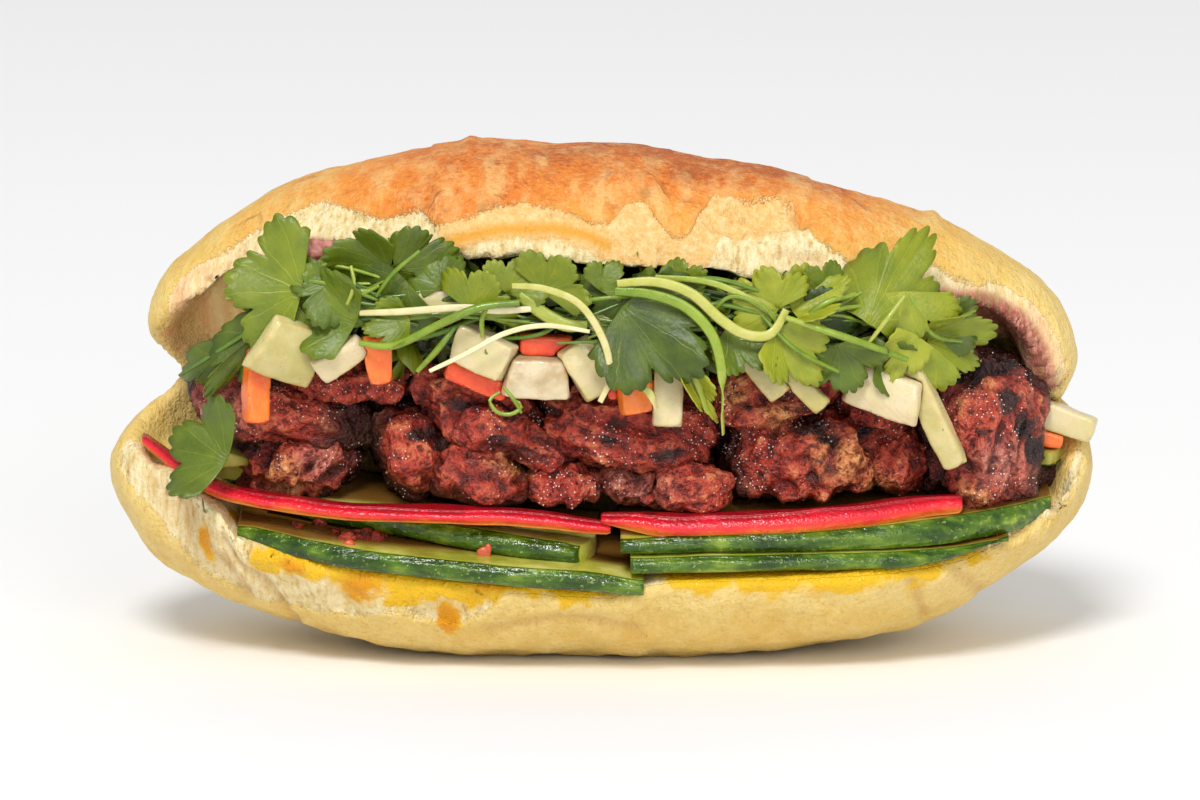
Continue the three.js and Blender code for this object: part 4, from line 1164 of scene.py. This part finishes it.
real = add(tree, "GeometryNodeRealizeInstances", Geometry=strewn)
finished = add(tree, "GeometryNodeSetMaterial", Geometry=real, Material=given["Leaf_finish"])
add(tree, "NodeGroupOutput", Geometry=finished)

# The three shapes: teeth, cupping across, curl along, waves, and turn of the teeth and waves.
SMALL_LEAVES = ((11, 0.5, 0.7, 0.10, 0.3), (9, -0.6, -0.8, 0.12, 1.4), (12, 0.9, 1.5, 0.08, 2.2))
leaf_shapes = []
for teeth, cup, curl, waves, turn in SMALL_LEAVES:
    points, faces, veins, reach = leaf_shape(18, 2, teeth, cup, curl, waves, turn)
    sprig = new_piece("small_leaf", points * PER_MM, faces)
    paint(sprig, "veins", veins)
    paint(sprig, "reach", reach)
    wall = sprig.modifiers.new("wall", "SOLIDIFY")
    wall.thickness = 0.03
    leaf_shapes.append(kept(sprig, "small_leaf"))

bed = placed("leaf_bed", core.data.copy())
points = points_of(bed)
out = normals_of(bed)
under_lip = upper_lip(points[:, 0]) - points[:, 2]
facing = step(-out[:, 1] + 0.25 * out[:, 2], -0.35, 0.1)
paint(bed, "strew", facing * step(-points[:, 1], 8, 18) * step(under_lip, 3, 6))
small = grown(
    "coriander_small_leaves", bed, tree, Leaf_1=leaf_shapes[0], Leaf_2=leaf_shapes[1], Leaf_3=leaf_shapes[2],
    Apart=5.2 * MM, Length=7.5 * MM, Seed=4, Leaf_finish=CORIANDER_LEAF,
)
for sprig in leaf_shapes:
    bpy.data.objects.remove(sprig)
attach(small, "root")

# The large leaves in front, from stalk to tip: (x, z, x, z), then how far they stand off the lips at
# each end, width for length, shade and tilt.
LEAF_THICK = 0.22  # mm
LARGE_LEAVES = [
    (-60.5, 79.6, -75.4, 83, 3, 3, 1.0, 0.52, 0.1), (-49.6, 73.4, -64.6, 80.4, 2.5, 4, 0.62, 0.46, -0.2),
    (-52, 83, -58, 72, 0.5, 2.5, 0.95, 0.38, 0.2), (-40, 82, -49, 73, 0.5, 1.5, 1.0, 0.34, 0.3),
    (-43, 84, -56, 90, -1, 0, 0.8, 0.42, -0.5), (-42, 84, -29, 86.6, -1, 0, 0.7, 0.36, -0.3),
    (-27, 75.6, -22.4, 84, 3.4, 3.6, 1.0, 0.6, 0.2), (-19.5, 79, -15.8, 86, 2.6, 2.6, 1.0, 0.58, -0.1),
    (-12.5, 79, -6.6, 86.6, 2.4, 3.4, 1.0, 0.56, 0.15), (4, 80, -2.4, 71, 1, 2, 0.9, 0.32, 0.35),
    (3, 76.4, 19, 62, 3.6, 4.6, 0.72, 0.3, 0.25), (14.8, 63.6, 22.8, 52.6, 4.6, 3.4, 0.2, 0.8, 0.5),
    (33.7, 76, 30.6, 84.6, 2.8, 2.6, 0.9, 0.68, -0.3), (33.9, 76, 23.6, 80.8, 2.8, 2.6, 0.7, 0.74, 0.3),
    (36.6, 75.6, 48.6, 81.6, 1.6, 1.8, 0.55, 0.7, 0.7), (38.3, 72.8, 50, 72.6, 0, 1, 0.8, 0.2, -0.3),
    (51.6, 73, 65, 93, 4.4, -5.4, 0.44, 0.6, 0.25), (33.4, 71.8, 42, 60.6, 3.4, 3.2, 0.6, 0.72, 0.4),
    (45.6, 69, 49, 59, 2.6, 3.4, 1.0, 0.36, -0.2), (59.2, 79.6, 59.4, 69, 2.8, 4, 1.2, 0.68, 0.2),
    (61.2, 71, 55.6, 61, 4, 3.6, 0.5, 0.78, -0.4), (62.6, 70.2, 77.6, 73.4, 1.6, 2.8, 0.62, 0.62, -0.6),
    (63.6, 69.4, 75.4, 65.4, 2, 3, 0.66, 0.66, 0.5), (64.4, 70.6, 73.6, 78, 0.6, 0.8, 0.7, 0.4, 0.1),
    (-76, 45.4, -88.6, 51.4, 4.4, 5.6, 0.82, 0.4, 0.2), (-67.6, 72.4, -80.6, 59.4, 2.6, 3, 0.34, 0.34, -0.3),
    (-78, 66.4, -87.4, 61.6, 2.2, 3, 0.4, 0.36, 0.2), (-39, 73.8, -48, 71.2, 3, 2.6, 0.6, 0.5, 0.4),
    (-1.4, 79.6, 2.6, 85.6, 1.4, 1.4, 0.8, 0.48, 0.1), (-61, 76.4, -68.6, 69.6, 1.6, 2.6, 0.8, 0.46, 0.3),
    (-54.5, 78, -50.5, 87.6, -0.4, 0, 0.8, 0.44, -0.2), (24, 72.6, 33, 63.6, 1, 2, 0.7, 0.44, 0.4),
    (-33, 80, -37.4, 87, 0, -0.6, 1.0, 0.4, 0.2), (12, 79, 20.6, 83.4, 0.6, 0.6, 0.7, 0.5, 0.4),
    (54, 66, 62.6, 60.6, 2, 2.6, 0.6, 0.4, 0.2), (44, 79, 38.4, 84.6, 0.6, 0.4, 0.8, 0.46, 0.2),
]
mesh_points, mesh_faces, all_veins, all_reach, all_shade = [], [], [], [], []
used = 0
for number, (x0, z0, x1, z1, off0, off1, width, shade, tilt) in enumerate(LARGE_LEAVES):
    turn = number * 1.9
    points, faces, veins, reach = leaf_shape(
        84, 6, 15 + number % 4, 0.4 * math.sin(turn), 0.6 * math.cos(1.7 * turn), 0.06, turn
    )
    base = seen_at(x0, z0, lip_front(x0) - off0)
    tip = seen_at(x1, z1, lip_front(x1) - off1)
    length = (tip - base).length
    ahead = (tip - base) / length
    side = ahead.cross(Vector((0, -math.cos(tilt), math.sin(tilt)))).normalized()
    upward = side.cross(ahead)
    turned = np.array([ahead, -side * width / 0.95, upward])
    mesh_points.append(points * length @ turned + np.array(base))
    mesh_faces += [[used + n for n in face] for face in faces]
    used += len(points)
    all_veins.append(veins)
    all_reach.append(reach)
    all_shade.append(np.full(len(reach), shade))
large = new_piece("coriander_large_leaves", np.concatenate(mesh_points), mesh_faces)
paint(large, "veins", np.concatenate(all_veins))
paint(large, "reach", np.concatenate(all_reach))
paint(large, "shade", np.concatenate(all_shade))
wall = large.modifiers.new("wall", "SOLIDIFY")
wall.thickness = LEAF_THICK * MM
wall.offset = 0
large = kept(large, "coriander_large_leaves", [CORIANDER_LEAF])
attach(large, "root")

# ---------------------------------------------------------------- stalks and spring onion shreds
# Thin round coriander stalks, and flat curled shreds cut from a spring onion, from its green top to its
# white end. Each is a smooth bent line with a round or flat section.

# Stalk and onion fibre: wet and glossy, ribbed along its length, green through yellow-green to white.
STALK_FIBRE, t = new_material("fresh_stalk_and_onion_fibre")
place = add(t, "ShaderNodeTexCoord").outputs["Object"]
shade = add(t, "ShaderNodeAttribute", {"attribute_name": "shade"}).outputs["Fac"]
cloud = add(t, "ShaderNodeTexNoise", Vector=place, Scale=PER_MM / 3, Detail=3)
rib = add(t, "ShaderNodeTexNoise", Vector=place, Scale=PER_MM / 0.5, Detail=2)
tone = add(t, "ShaderNodeMath", {"operation": "MULTIPLY_ADD"}, _0=cloud, _1=0.24, _2=shade)
tone = add(t, "ShaderNodeMath", {"operation": "SUBTRACT"}, _0=tone, _1=0.12)
FIBRES = [(0.0, "#2b4a0c"), (0.25, "#5c7d16"), (0.45, "#8fa52c"), (0.62, "#bcbc58"), (0.8, "#dccf92")]
FIBRES += [(1.0, "#f0e6c2")]
colour = add(t, "ShaderNodeValToRGB", {"stops": FIBRES}, _0=tone)
relief = add(t, "ShaderNodeBump", Strength=0.35, Distance=0.25 * MM, Height=rib)
gloss = add(t, "ShaderNodeMapRange", _0=cloud, _1=0.35, _2=0.65, _3=0.18, _4=0.42)
shader = add(
    t, "ShaderNodeBsdfPrincipled", Base_Color=colour, Roughness=gloss, Normal=relief, Coat_Weight=0.3,
    Coat_Roughness=0.1, Subsurface_Weight=0.2, Subsurface_Scale=0.001,
)
add(t, "ShaderNodeOutputMaterial", Surface=shader)

# Geometry Nodes sweep a round or flattened ring along each line, as wide as the line's own half width.
sweep, given = new_tree("bent_stalks", Flatness="Float", Step="Float", Finish="Material")
curve = add(sweep, "GeometryNodeMeshToCurve", Mesh=given["Geometry"])
curve = add(sweep, "GeometryNodeCurveSplineType", {"spline_type": "CATMULL_ROM"}, Curve=curve)
curve = add(sweep, "GeometryNodeResampleCurve", {"mode": "LENGTH"}, Curve=curve, Length=given["Step"])
curve = add(sweep, "GeometryNodeSetCurveNormal", {"mode": "Z_UP"}, Curve=curve)
half = add(sweep, "GeometryNodeInputNamedAttribute", Name="half_width")
ring = add(sweep, "GeometryNodeCurvePrimitiveCircle", Resolution=8, Radius=1.0)
thin = add(sweep, "ShaderNodeCombineXYZ", X=given["Flatness"], Y=1.0, Z=1.0)
ring = add(sweep, "GeometryNodeTransform", Geometry=ring, Scale=thin)
tube = add(sweep, "GeometryNodeCurveToMesh", Curve=curve, Profile_Curve=ring, Scale=half, Fill_Caps=True)
real = add(sweep, "GeometryNodeRealizeInstances", Geometry=tube)
finished = add(sweep, "GeometryNodeSetMaterial", Geometry=real, Material=given["Finish"])
add(sweep, "NodeGroupOutput", Geometry=finished)


def bent_lines(name, lines, flatness):
    """Stalks or shreds: each (width, shade at its start and end, stand-off, [(x, z), ...]), as one piece."""
    places, edges, half_width, shades = [], [], [], []
    for width, first, last, off, line in lines:
        for n, (x, z) in enumerate(line):
            share = n / (len(line) - 1)
            bow = 1.2 * math.sin(math.pi * share)
            places.append(seen_at(x, z, lip_front(x) - off - bow))
            half_width.append(0.42 * width * (1 - 0.25 * abs(2 * share - 1) ** 3) * MM)
            shades.append(first + (last - first) * share)
            if n:
                edges.append((len(places) - 2, len(places) - 1))
    mesh = bpy.data.meshes.new(name)
    mesh.from_pydata([place * MM for place in places], edges, [])
    host = placed(name + "_line", mesh)
    paint(host, "half_width", half_width)
    paint(host, "shade", shades)
    piece = grown(name, host, sweep, Flatness=flatness, Step=0.9 * MM, Finish=STALK_FIBRE)
    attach(piece, "root")


STALKS = [
    (2.0, 0.42, 0.3, 5, [(-49, 69.2), (-42.1, 68.6), (-33.1, 72.8), (-25.2, 76.2), (-17.3, 77.2)]),
    (1.6, 0.4, 0.26, 4, [(-37.5, 63.5), (-33.5, 67.8), (-30.2, 72.2)]),
    (1.8, 0.5, 0.34, 6, [(35.3, 74.2), (42.3, 71.8), (50.2, 69.2), (59.5, 65.8)]),
    (1.2, 0.5, 0.6, 6, [(58.8, 78.5), (55.2, 73.8), (51.8, 69.2)]),
    (1.6, 0.34, 0.42, 2.5, [(36.3, 71.8), (43.3, 77.2), (49.2, 78.9)]),
    (1.3, 0.3, 0.4, 1.6, [(38.3, 71.2), (44.3, 75.4), (50.2, 76.6)]),
    (1.0, 0.36, 0.4, 2.5, [
        (-21.2, 59.3), (-23.2, 57.7), (-21.8, 55.3), (-18.9, 54.9), (-16.9, 56.5), (-18.9, 57.9),
    ]),
    (1.0, 0.4, 0.3, 3, [(-20.4, 60.2), (-18.6, 58), (-17, 55.2)]),
    (1.1, 0.16, 0.26, 3.5, [(-85.7, 62.7), (-77.8, 67.4), (-68.5, 73.4)]),
    (1.2, 0.3, 0.3, 2.2, [(-45.6, 78.6), (-42.4, 83), (-37, 87.6)]),
    (1.4, 0.42, 0.36, 3, [(-24.6, 70.4), (-24.6, 74.4), (-22.4, 78)]),
    (1.1, 0.5, 0.5, 4.5, [(-51.4, 77), (-50, 80.6), (-50.6, 84.6)]),
    (1.3, 0.4, 0.32, 3, [(60, 79), (64.4, 71.2), (70.6, 69.6)]),
    (1.2, 0.3, 0.34, 4, [(30.6, 74.6), (37, 68), (45.8, 63.4)]),
    (1.3, 0.28, 0.3, 2.2, [(5, 80.6), (20, 82), (30, 79.6)]),
    (1.2, 0.2, 0.3, 2, [(12, 77), (24, 76.6), (36, 73)]),
]
# Thin stalks at random behind the leaves, just under the upper lip.
scatter = np.random.default_rng(11)
for n in range(60):
    x = scatter.uniform(-66, 66)
    level = upper_lip(x) - scatter.uniform(3, 13)
    slant, sag, long = scatter.uniform(-4, 4), scatter.uniform(-3, 3), scatter.uniform(7, 15)
    line = [(x - long, level - slant), (x, level + sag), (x + long, level + slant)]
    shade = scatter.uniform(0.05, 0.42)
    STALKS.append((scatter.uniform(0.8, 1.5), shade, shade + 0.1, scatter.uniform(-1.5, 1.6), line))
SHREDS = [
    (2.6, 0.34, 0.56, 5, [
        (1.6, 79.4), (8.6, 78.8), (15.5, 76.2), (20.6, 70.8), (22.6, 63.6), (22.8, 54.8), (23, 50.8),
    ]),
    (1.3, 0.92, 0.86, 5.6, [(-35.1, 63.5), (-28.2, 66.8), (-20.2, 71), (-12.3, 72.6), (-3.4, 71.4)]),
    (1.8, 0.62, 0.84, 6.4, [
        (-18.7, 80.5), (-12.3, 79.9), (-5.4, 76.8), (-0.8, 69.8), (0.6, 62.7), (-1.4, 57.3),
    ]),
    (1.8, 0.8, 0.95, 3, [(-49, 75.2), (-41.1, 75.4), (-28.8, 76.2), (-21.2, 75.6), (-12.3, 76.2)]),
    (2.6, 0.6, 0.64, 4.6, [
        (2, 80.9), (9.5, 81.3), (16.5, 79), (22.4, 73.8), (27.4, 70.8), (32.4, 71), (35.4, 75.8),
    ]),
    (1.6, 0.5, 0.56, 3, [(9.5, 82.3), (20.4, 81.2), (29.4, 77.2), (34, 73.4)]),
    (0.9, 0.3, 0.4, 3.4, [(20.4, 74.8), (24.4, 78.4), (30.8, 76.4), (34.3, 71.8)]),
    (3.2, 0.52, 0.56, 2.4, [(-17.4, 78.6), (-13.4, 75.6), (-8.4, 72.8), (-4, 72.6)]),
    (1.8, 0.56, 0.5, 3.6, [(14, 66.8), (17.4, 62), (19.8, 55.4)]),
    (2.0, 0.5, 0.84, 4, [(5.6, 61.6), (8.6, 58.8), (9.8, 55.8)]),
]
bent_lines("coriander_stalks", STALKS, 1.0)
bent_lines("spring_onion_shreds", SHREDS, 0.24)

# ---------------------------------------------------------------- crumbs, specks and flakes
# What falls between the fillings: crumbs of charred meat and flakes of chilli on the cucumber, crushed pepper
# all over the pork with white beads in patches as painted glints of its glaze, and dabs of pate squeezed out
# at the upper lip.


def lump(work, at, size, seed, detail):
    """Adds a rough lump, at a place and with a size in mm, to a bmesh."""
    made = bmesh.ops.create_icosphere(work, subdivisions=detail, radius=1)["verts"]
    rounds = np.array([vertex.co[:] for vertex in made])
    swell = 1 + 0.3 * noise(rounds, 0.8, seed, 2)
    for vertex, place in zip(made, rounds * swell[:, None] * size + at):
        vertex.co = place * MM


def together(names):
    """The meshes of several pieces in one bmesh."""
    work = bmesh.new()
    for name in names:
        work.from_mesh(bpy.data.objects[name].data)
    return work


work = together(node + "_plank" for node in PLANK_NODES)
PLANKS = BVHTree.FromBMesh(work)
work.free()
INTO = Vector((0, math.cos(SLOPE), -math.sin(SLOPE)))  # straight into the roll, through the board
BEFORE, PAST = 20, 25  # mm, how far in front of a place and past it the planks are looked for


def landed(place, half_deep):
    """Where a lump lies on the plank straight behind a place, a little sunk in, or the place if none is."""
    start = Vector(place) * MM - BEFORE * MM * INTO
    hit = PLANKS.ray_cast(start, INTO, (BEFORE + PAST) * MM)[0]
    return tuple((hit - 0.6 * half_deep * MM * INTO) / MM) if hit else place


def lumps_piece(name, rows, detail, material, on_planks=True):
    """A piece of rough lumps: each (x, y, z, then half its length, depth and height), in mm."""
    work = bmesh.new()
    for number, row in enumerate(rows):
        at = landed(row[:3], row[4]) if on_planks else row[:3]
        lump(work, at, row[3:], 50 + number, detail)
    mesh = bpy.data.meshes.new(name)
    work.to_mesh(mesh)
    work.free()
    mesh.polygons.foreach_set("use_smooth", [True] * len(mesh.polygons))
    mesh.materials.append(material)
    piece = placed(name, mesh)
    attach(piece, "root")
    return piece


# Chilli flake: leathery, oily red-orange.
CHILLI_FLAKE, t = new_material("dried_chilli_flake")
shader = add(t, "ShaderNodeBsdfPrincipled", Base_Color="#c85a34", Roughness=0.3)
add(t, "ShaderNodeOutputMaterial", Surface=shader)

# Pork liver pate: soft, dull, pinkish brown.
LIVER_PATE, t = new_material("pork_liver_pate")
place = add(t, "ShaderNodeTexCoord").outputs["Object"]
cloud = add(t, "ShaderNodeTexNoise", Vector=place, Scale=PER_MM / 1.5, Detail=4)
DAB_TONES = [(0.35, "#8a4438"), (0.5, "#b0685a"), (0.65, "#c88a78")]
colour = add(t, "ShaderNodeValToRGB", {"stops": DAB_TONES}, _0=cloud)
relief = add(t, "ShaderNodeBump", Strength=0.5, Distance=0.5 * MM, Height=cloud)
shader = add(t, "ShaderNodeBsdfPrincipled", Base_Color=colour, Roughness=0.5, Normal=relief)
add(t, "ShaderNodeOutputMaterial", Surface=shader)

MEAT_CRUMBS = [
    (-57.8, -41, 32.2, 1.6, 1.2, 1.1), (-52.1, -41.6, 29.6, 2, 1.4, 1.3), (-49.1, -41.4, 29.9, 2.4, 1.4, 1.6),
    (-46.1, -41.6, 29.5, 1.7, 1.3, 1.5), (-44.4, -41.4, 30.2, 1, 1, 1), (-54.6, -41, 30.8, 1.1, 1, 0.9),
    (8, -41, 37.6, 1.3, 1, 1), (-62.4, -38, 31.4, 1.2, 1, 0.9),
]
crumbs = lumps_piece("meat_crumbs", MEAT_CRUMBS, 3, GRILLED_PORK)
paint(crumbs, "low", 0.1)
CHILLI = [
    (-24.6, -43.4, 26.4, 1.5, 0.4, 1.7), (-23.8, -43.2, 27.6, 0.8, 0.4, 1.1),
    (-51.6, -42.4, 28.6, 1.1, 0.6, 0.9),
]
lumps_piece("chilli_flakes", CHILLI, 2, CHILLI_FLAKE)
PATE_DABS = [
    (-58.4, -31.6, 85.6, 4.2, 2.2, 2.6), (-55, -32, 86.2, 2.6, 1.8, 1.8), (-61.6, -31, 84.8, 2, 1.6, 1.8),
]
lumps_piece("pate_dabs", PATE_DABS, 3, LIVER_PATE, on_planks=False)

# Crushed pepper, from black to tan, stuck in the glaze.
CRUSHED_PEPPER, t = new_material("crushed_pepper")
shade = add(t, "ShaderNodeAttribute", {"attribute_name": "shade"}).outputs["Fac"]
PEPPER_TONES = [(0.0, "#120b08"), (0.6, "#3a2016"), (0.85, "#a8703c"), (1.0, "#e0b070")]
colour = add(t, "ShaderNodeValToRGB", {"stops": PEPPER_TONES}, _0=shade)
shader = add(t, "ShaderNodeBsdfPrincipled", Base_Color=colour, Roughness=0.25)
add(t, "ShaderNodeOutputMaterial", Surface=shader)

# Specks stuck all over a surface, as thick as its "stuck" layer says, each turned and sized at random.
tree, given = new_tree(
    "stuck_specks", Speck="Object", Apart="Float", Size="Float", Seed="Int", Finish="Material"
)
SPECKS_PER_M2 = 1200000.0  # before those too near each other are dropped
stuck = add(tree, "GeometryNodeInputNamedAttribute", Name="stuck")
spread = add(
    tree, "GeometryNodeDistributePointsOnFaces", {"distribute_method": "POISSON"}, Mesh=given["Geometry"],
    Distance_Min=given["Apart"], Density_Max=SPECKS_PER_M2, Density_Factor=stuck, Seed=given["Seed"],
)
turned = add(
    tree, "FunctionNodeRandomValue", {"data_type": "FLOAT_VECTOR"}, Max=(6.28, 6.28, 6.28), Seed=given["Seed"]
)
size = add(tree, "FunctionNodeRandomValue", _2=0.4, _3=1.0, Seed=given["Seed"])
size = add(tree, "ShaderNodeMath", {"operation": "MULTIPLY"}, _0=size.outputs[1], _1=given["Size"])
shape = add(tree, "GeometryNodeObjectInfo", Object=given["Speck"])
specks = add(
    tree, "GeometryNodeInstanceOnPoints", Points=spread, Instance=shape.outputs["Geometry"], Rotation=turned,
    Scale=size,
)
shade = add(tree, "FunctionNodeRandomValue", _2=0.0, _3=1.0, Seed=given["Seed"])
shaded = add(
    tree, "GeometryNodeStoreNamedAttribute", {"domain": "INSTANCE"}, Geometry=specks, Name="shade",
    Value=shade.outputs[1],
)
real = add(tree, "GeometryNodeRealizeInstances", Geometry=shaded.outputs["Geometry"])
finished = add(tree, "GeometryNodeSetMaterial", Geometry=real, Material=given["Finish"])
add(tree, "NodeGroupOutput", Geometry=finished)

mesh = bpy.data.meshes.new("glazed_surface")
work = together(node + "_grilled" for node in DIRECTION)
work.to_mesh(mesh)
work.free()
bed = placed("glazed_surface", mesh)
wet_bed = placed("wet_surface", mesh.copy())
points = points_of(bed)
out = normals_of(bed)
facing = step(-out[:, 1] + 0.4 * out[:, 2], 0, 0.6) * step(-points[:, 1], 8, 16)
paint(bed, "stuck", 0.07 * facing)
# Patches where the white beads go, as painted glints of the wet glaze.
paint(wet_bed, "stuck", 0.7 * facing * step(noise(points, 5, 12, 2), 0, 0.5))
SPECK_POINTS = [(1, 0, 0), (-0.6, 0.8, 0), (-0.5, -0.7, 0.2), (0, 0, 0.8), (0, 0.1, -0.7)]
SPECK_FACES = [(0, 1, 3), (1, 2, 3), (2, 0, 3), (1, 0, 4), (2, 1, 4), (0, 2, 4)]
speck = new_piece("one_speck", SPECK_POINTS, SPECK_FACES)
specks = grown(
    "crushed_pepper_specks", bed, tree, Speck=speck, Apart=0.9 * MM, Size=0.42, Seed=7, Finish=CRUSHED_PEPPER
)
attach(specks, "root")

# Painted glints: tiny, nearly white and very shiny beads that stand for the sparkle of the wet glaze.
FAT_BEADS, t = new_material("beads_of_melted_fat")
shader = add(t, "ShaderNodeBsdfPrincipled", Base_Color="#fff2e6", Roughness=0.08, Specular_IOR_Level=0.8)
add(t, "ShaderNodeOutputMaterial", Surface=shader)
beads = grown("fat_beads", wet_bed, tree, Speck=speck, Apart=0.6 * MM, Size=0.3, Seed=3, Finish=FAT_BEADS)
bpy.data.objects.remove(speck)
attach(beads, "root")

# ---------------------------------------------------------------- studio
# A pale seamless table, a large soft light above the front, a fill from the right, and a long lens just
# above the height of the roll.

FLOOR = 6000  # mm, from its middle to its sides
corners = [(-FLOOR, -FLOOR, 0), (FLOOR, -FLOOR, 0), (FLOOR, FLOOR, 0), (-FLOOR, FLOOR, 0)]
floor = new_piece("studio_floor", corners, [(0, 1, 2, 3)])
PAPER, t = new_material("matte_studio_paper")
shader = add(t, "ShaderNodeBsdfPrincipled", Base_Color="#f6f6f6", Roughness=0.9)
add(t, "ShaderNodeOutputMaterial", Surface=shader)
floor.data.materials.append(PAPER)


def soft_light(name, at, size, power):
    """A round soft light, at a place in mm, that shines on the middle of the roll."""
    lamp = bpy.data.lights.new(name, "AREA")
    lamp.shape = "DISK"
    lamp.size = size * MM
    lamp.energy = power
    holder = placed(name, lamp)
    holder.location = Vector(at) * MM
    holder.rotation_euler = (Vector((0, 0, 50)) - Vector(at)).to_track_quat("-Z", "Y").to_euler()


soft_light("key_light", (-700, -3400, 3900), 1500, 178)
soft_light("fill_light", (1500, -4300, 1900), 2400, 56)
world = bpy.data.worlds.new("studio")
world.use_nodes = True
world.node_tree.nodes["Background"].inputs["Color"].default_value = srgb("#ffffff")
world.node_tree.nodes["Background"].inputs["Strength"].default_value = 0.56
bpy.context.scene.world = world
bpy.context.scene.view_settings.view_transform = "Standard"

LENS = 200  # mm, of the camera
FRAME_WIDTH = 245.4  # mm across the middle of the roll
camera_data = bpy.data.cameras.new("camera")
camera_data.lens = LENS
camera_data.clip_end = 50
camera = placed("camera", camera_data)
aim = Vector((-1.4, 0, 50.3))  # the middle of the view
away = FRAME_WIDTH * LENS / camera_data.sensor_width
camera.location = (aim + away * Vector((0, -math.cos(SLOPE), math.sin(SLOPE)))) * MM
camera.rotation_euler = (math.pi / 2 - SLOPE, 0, 0)
bpy.context.scene.camera = camera
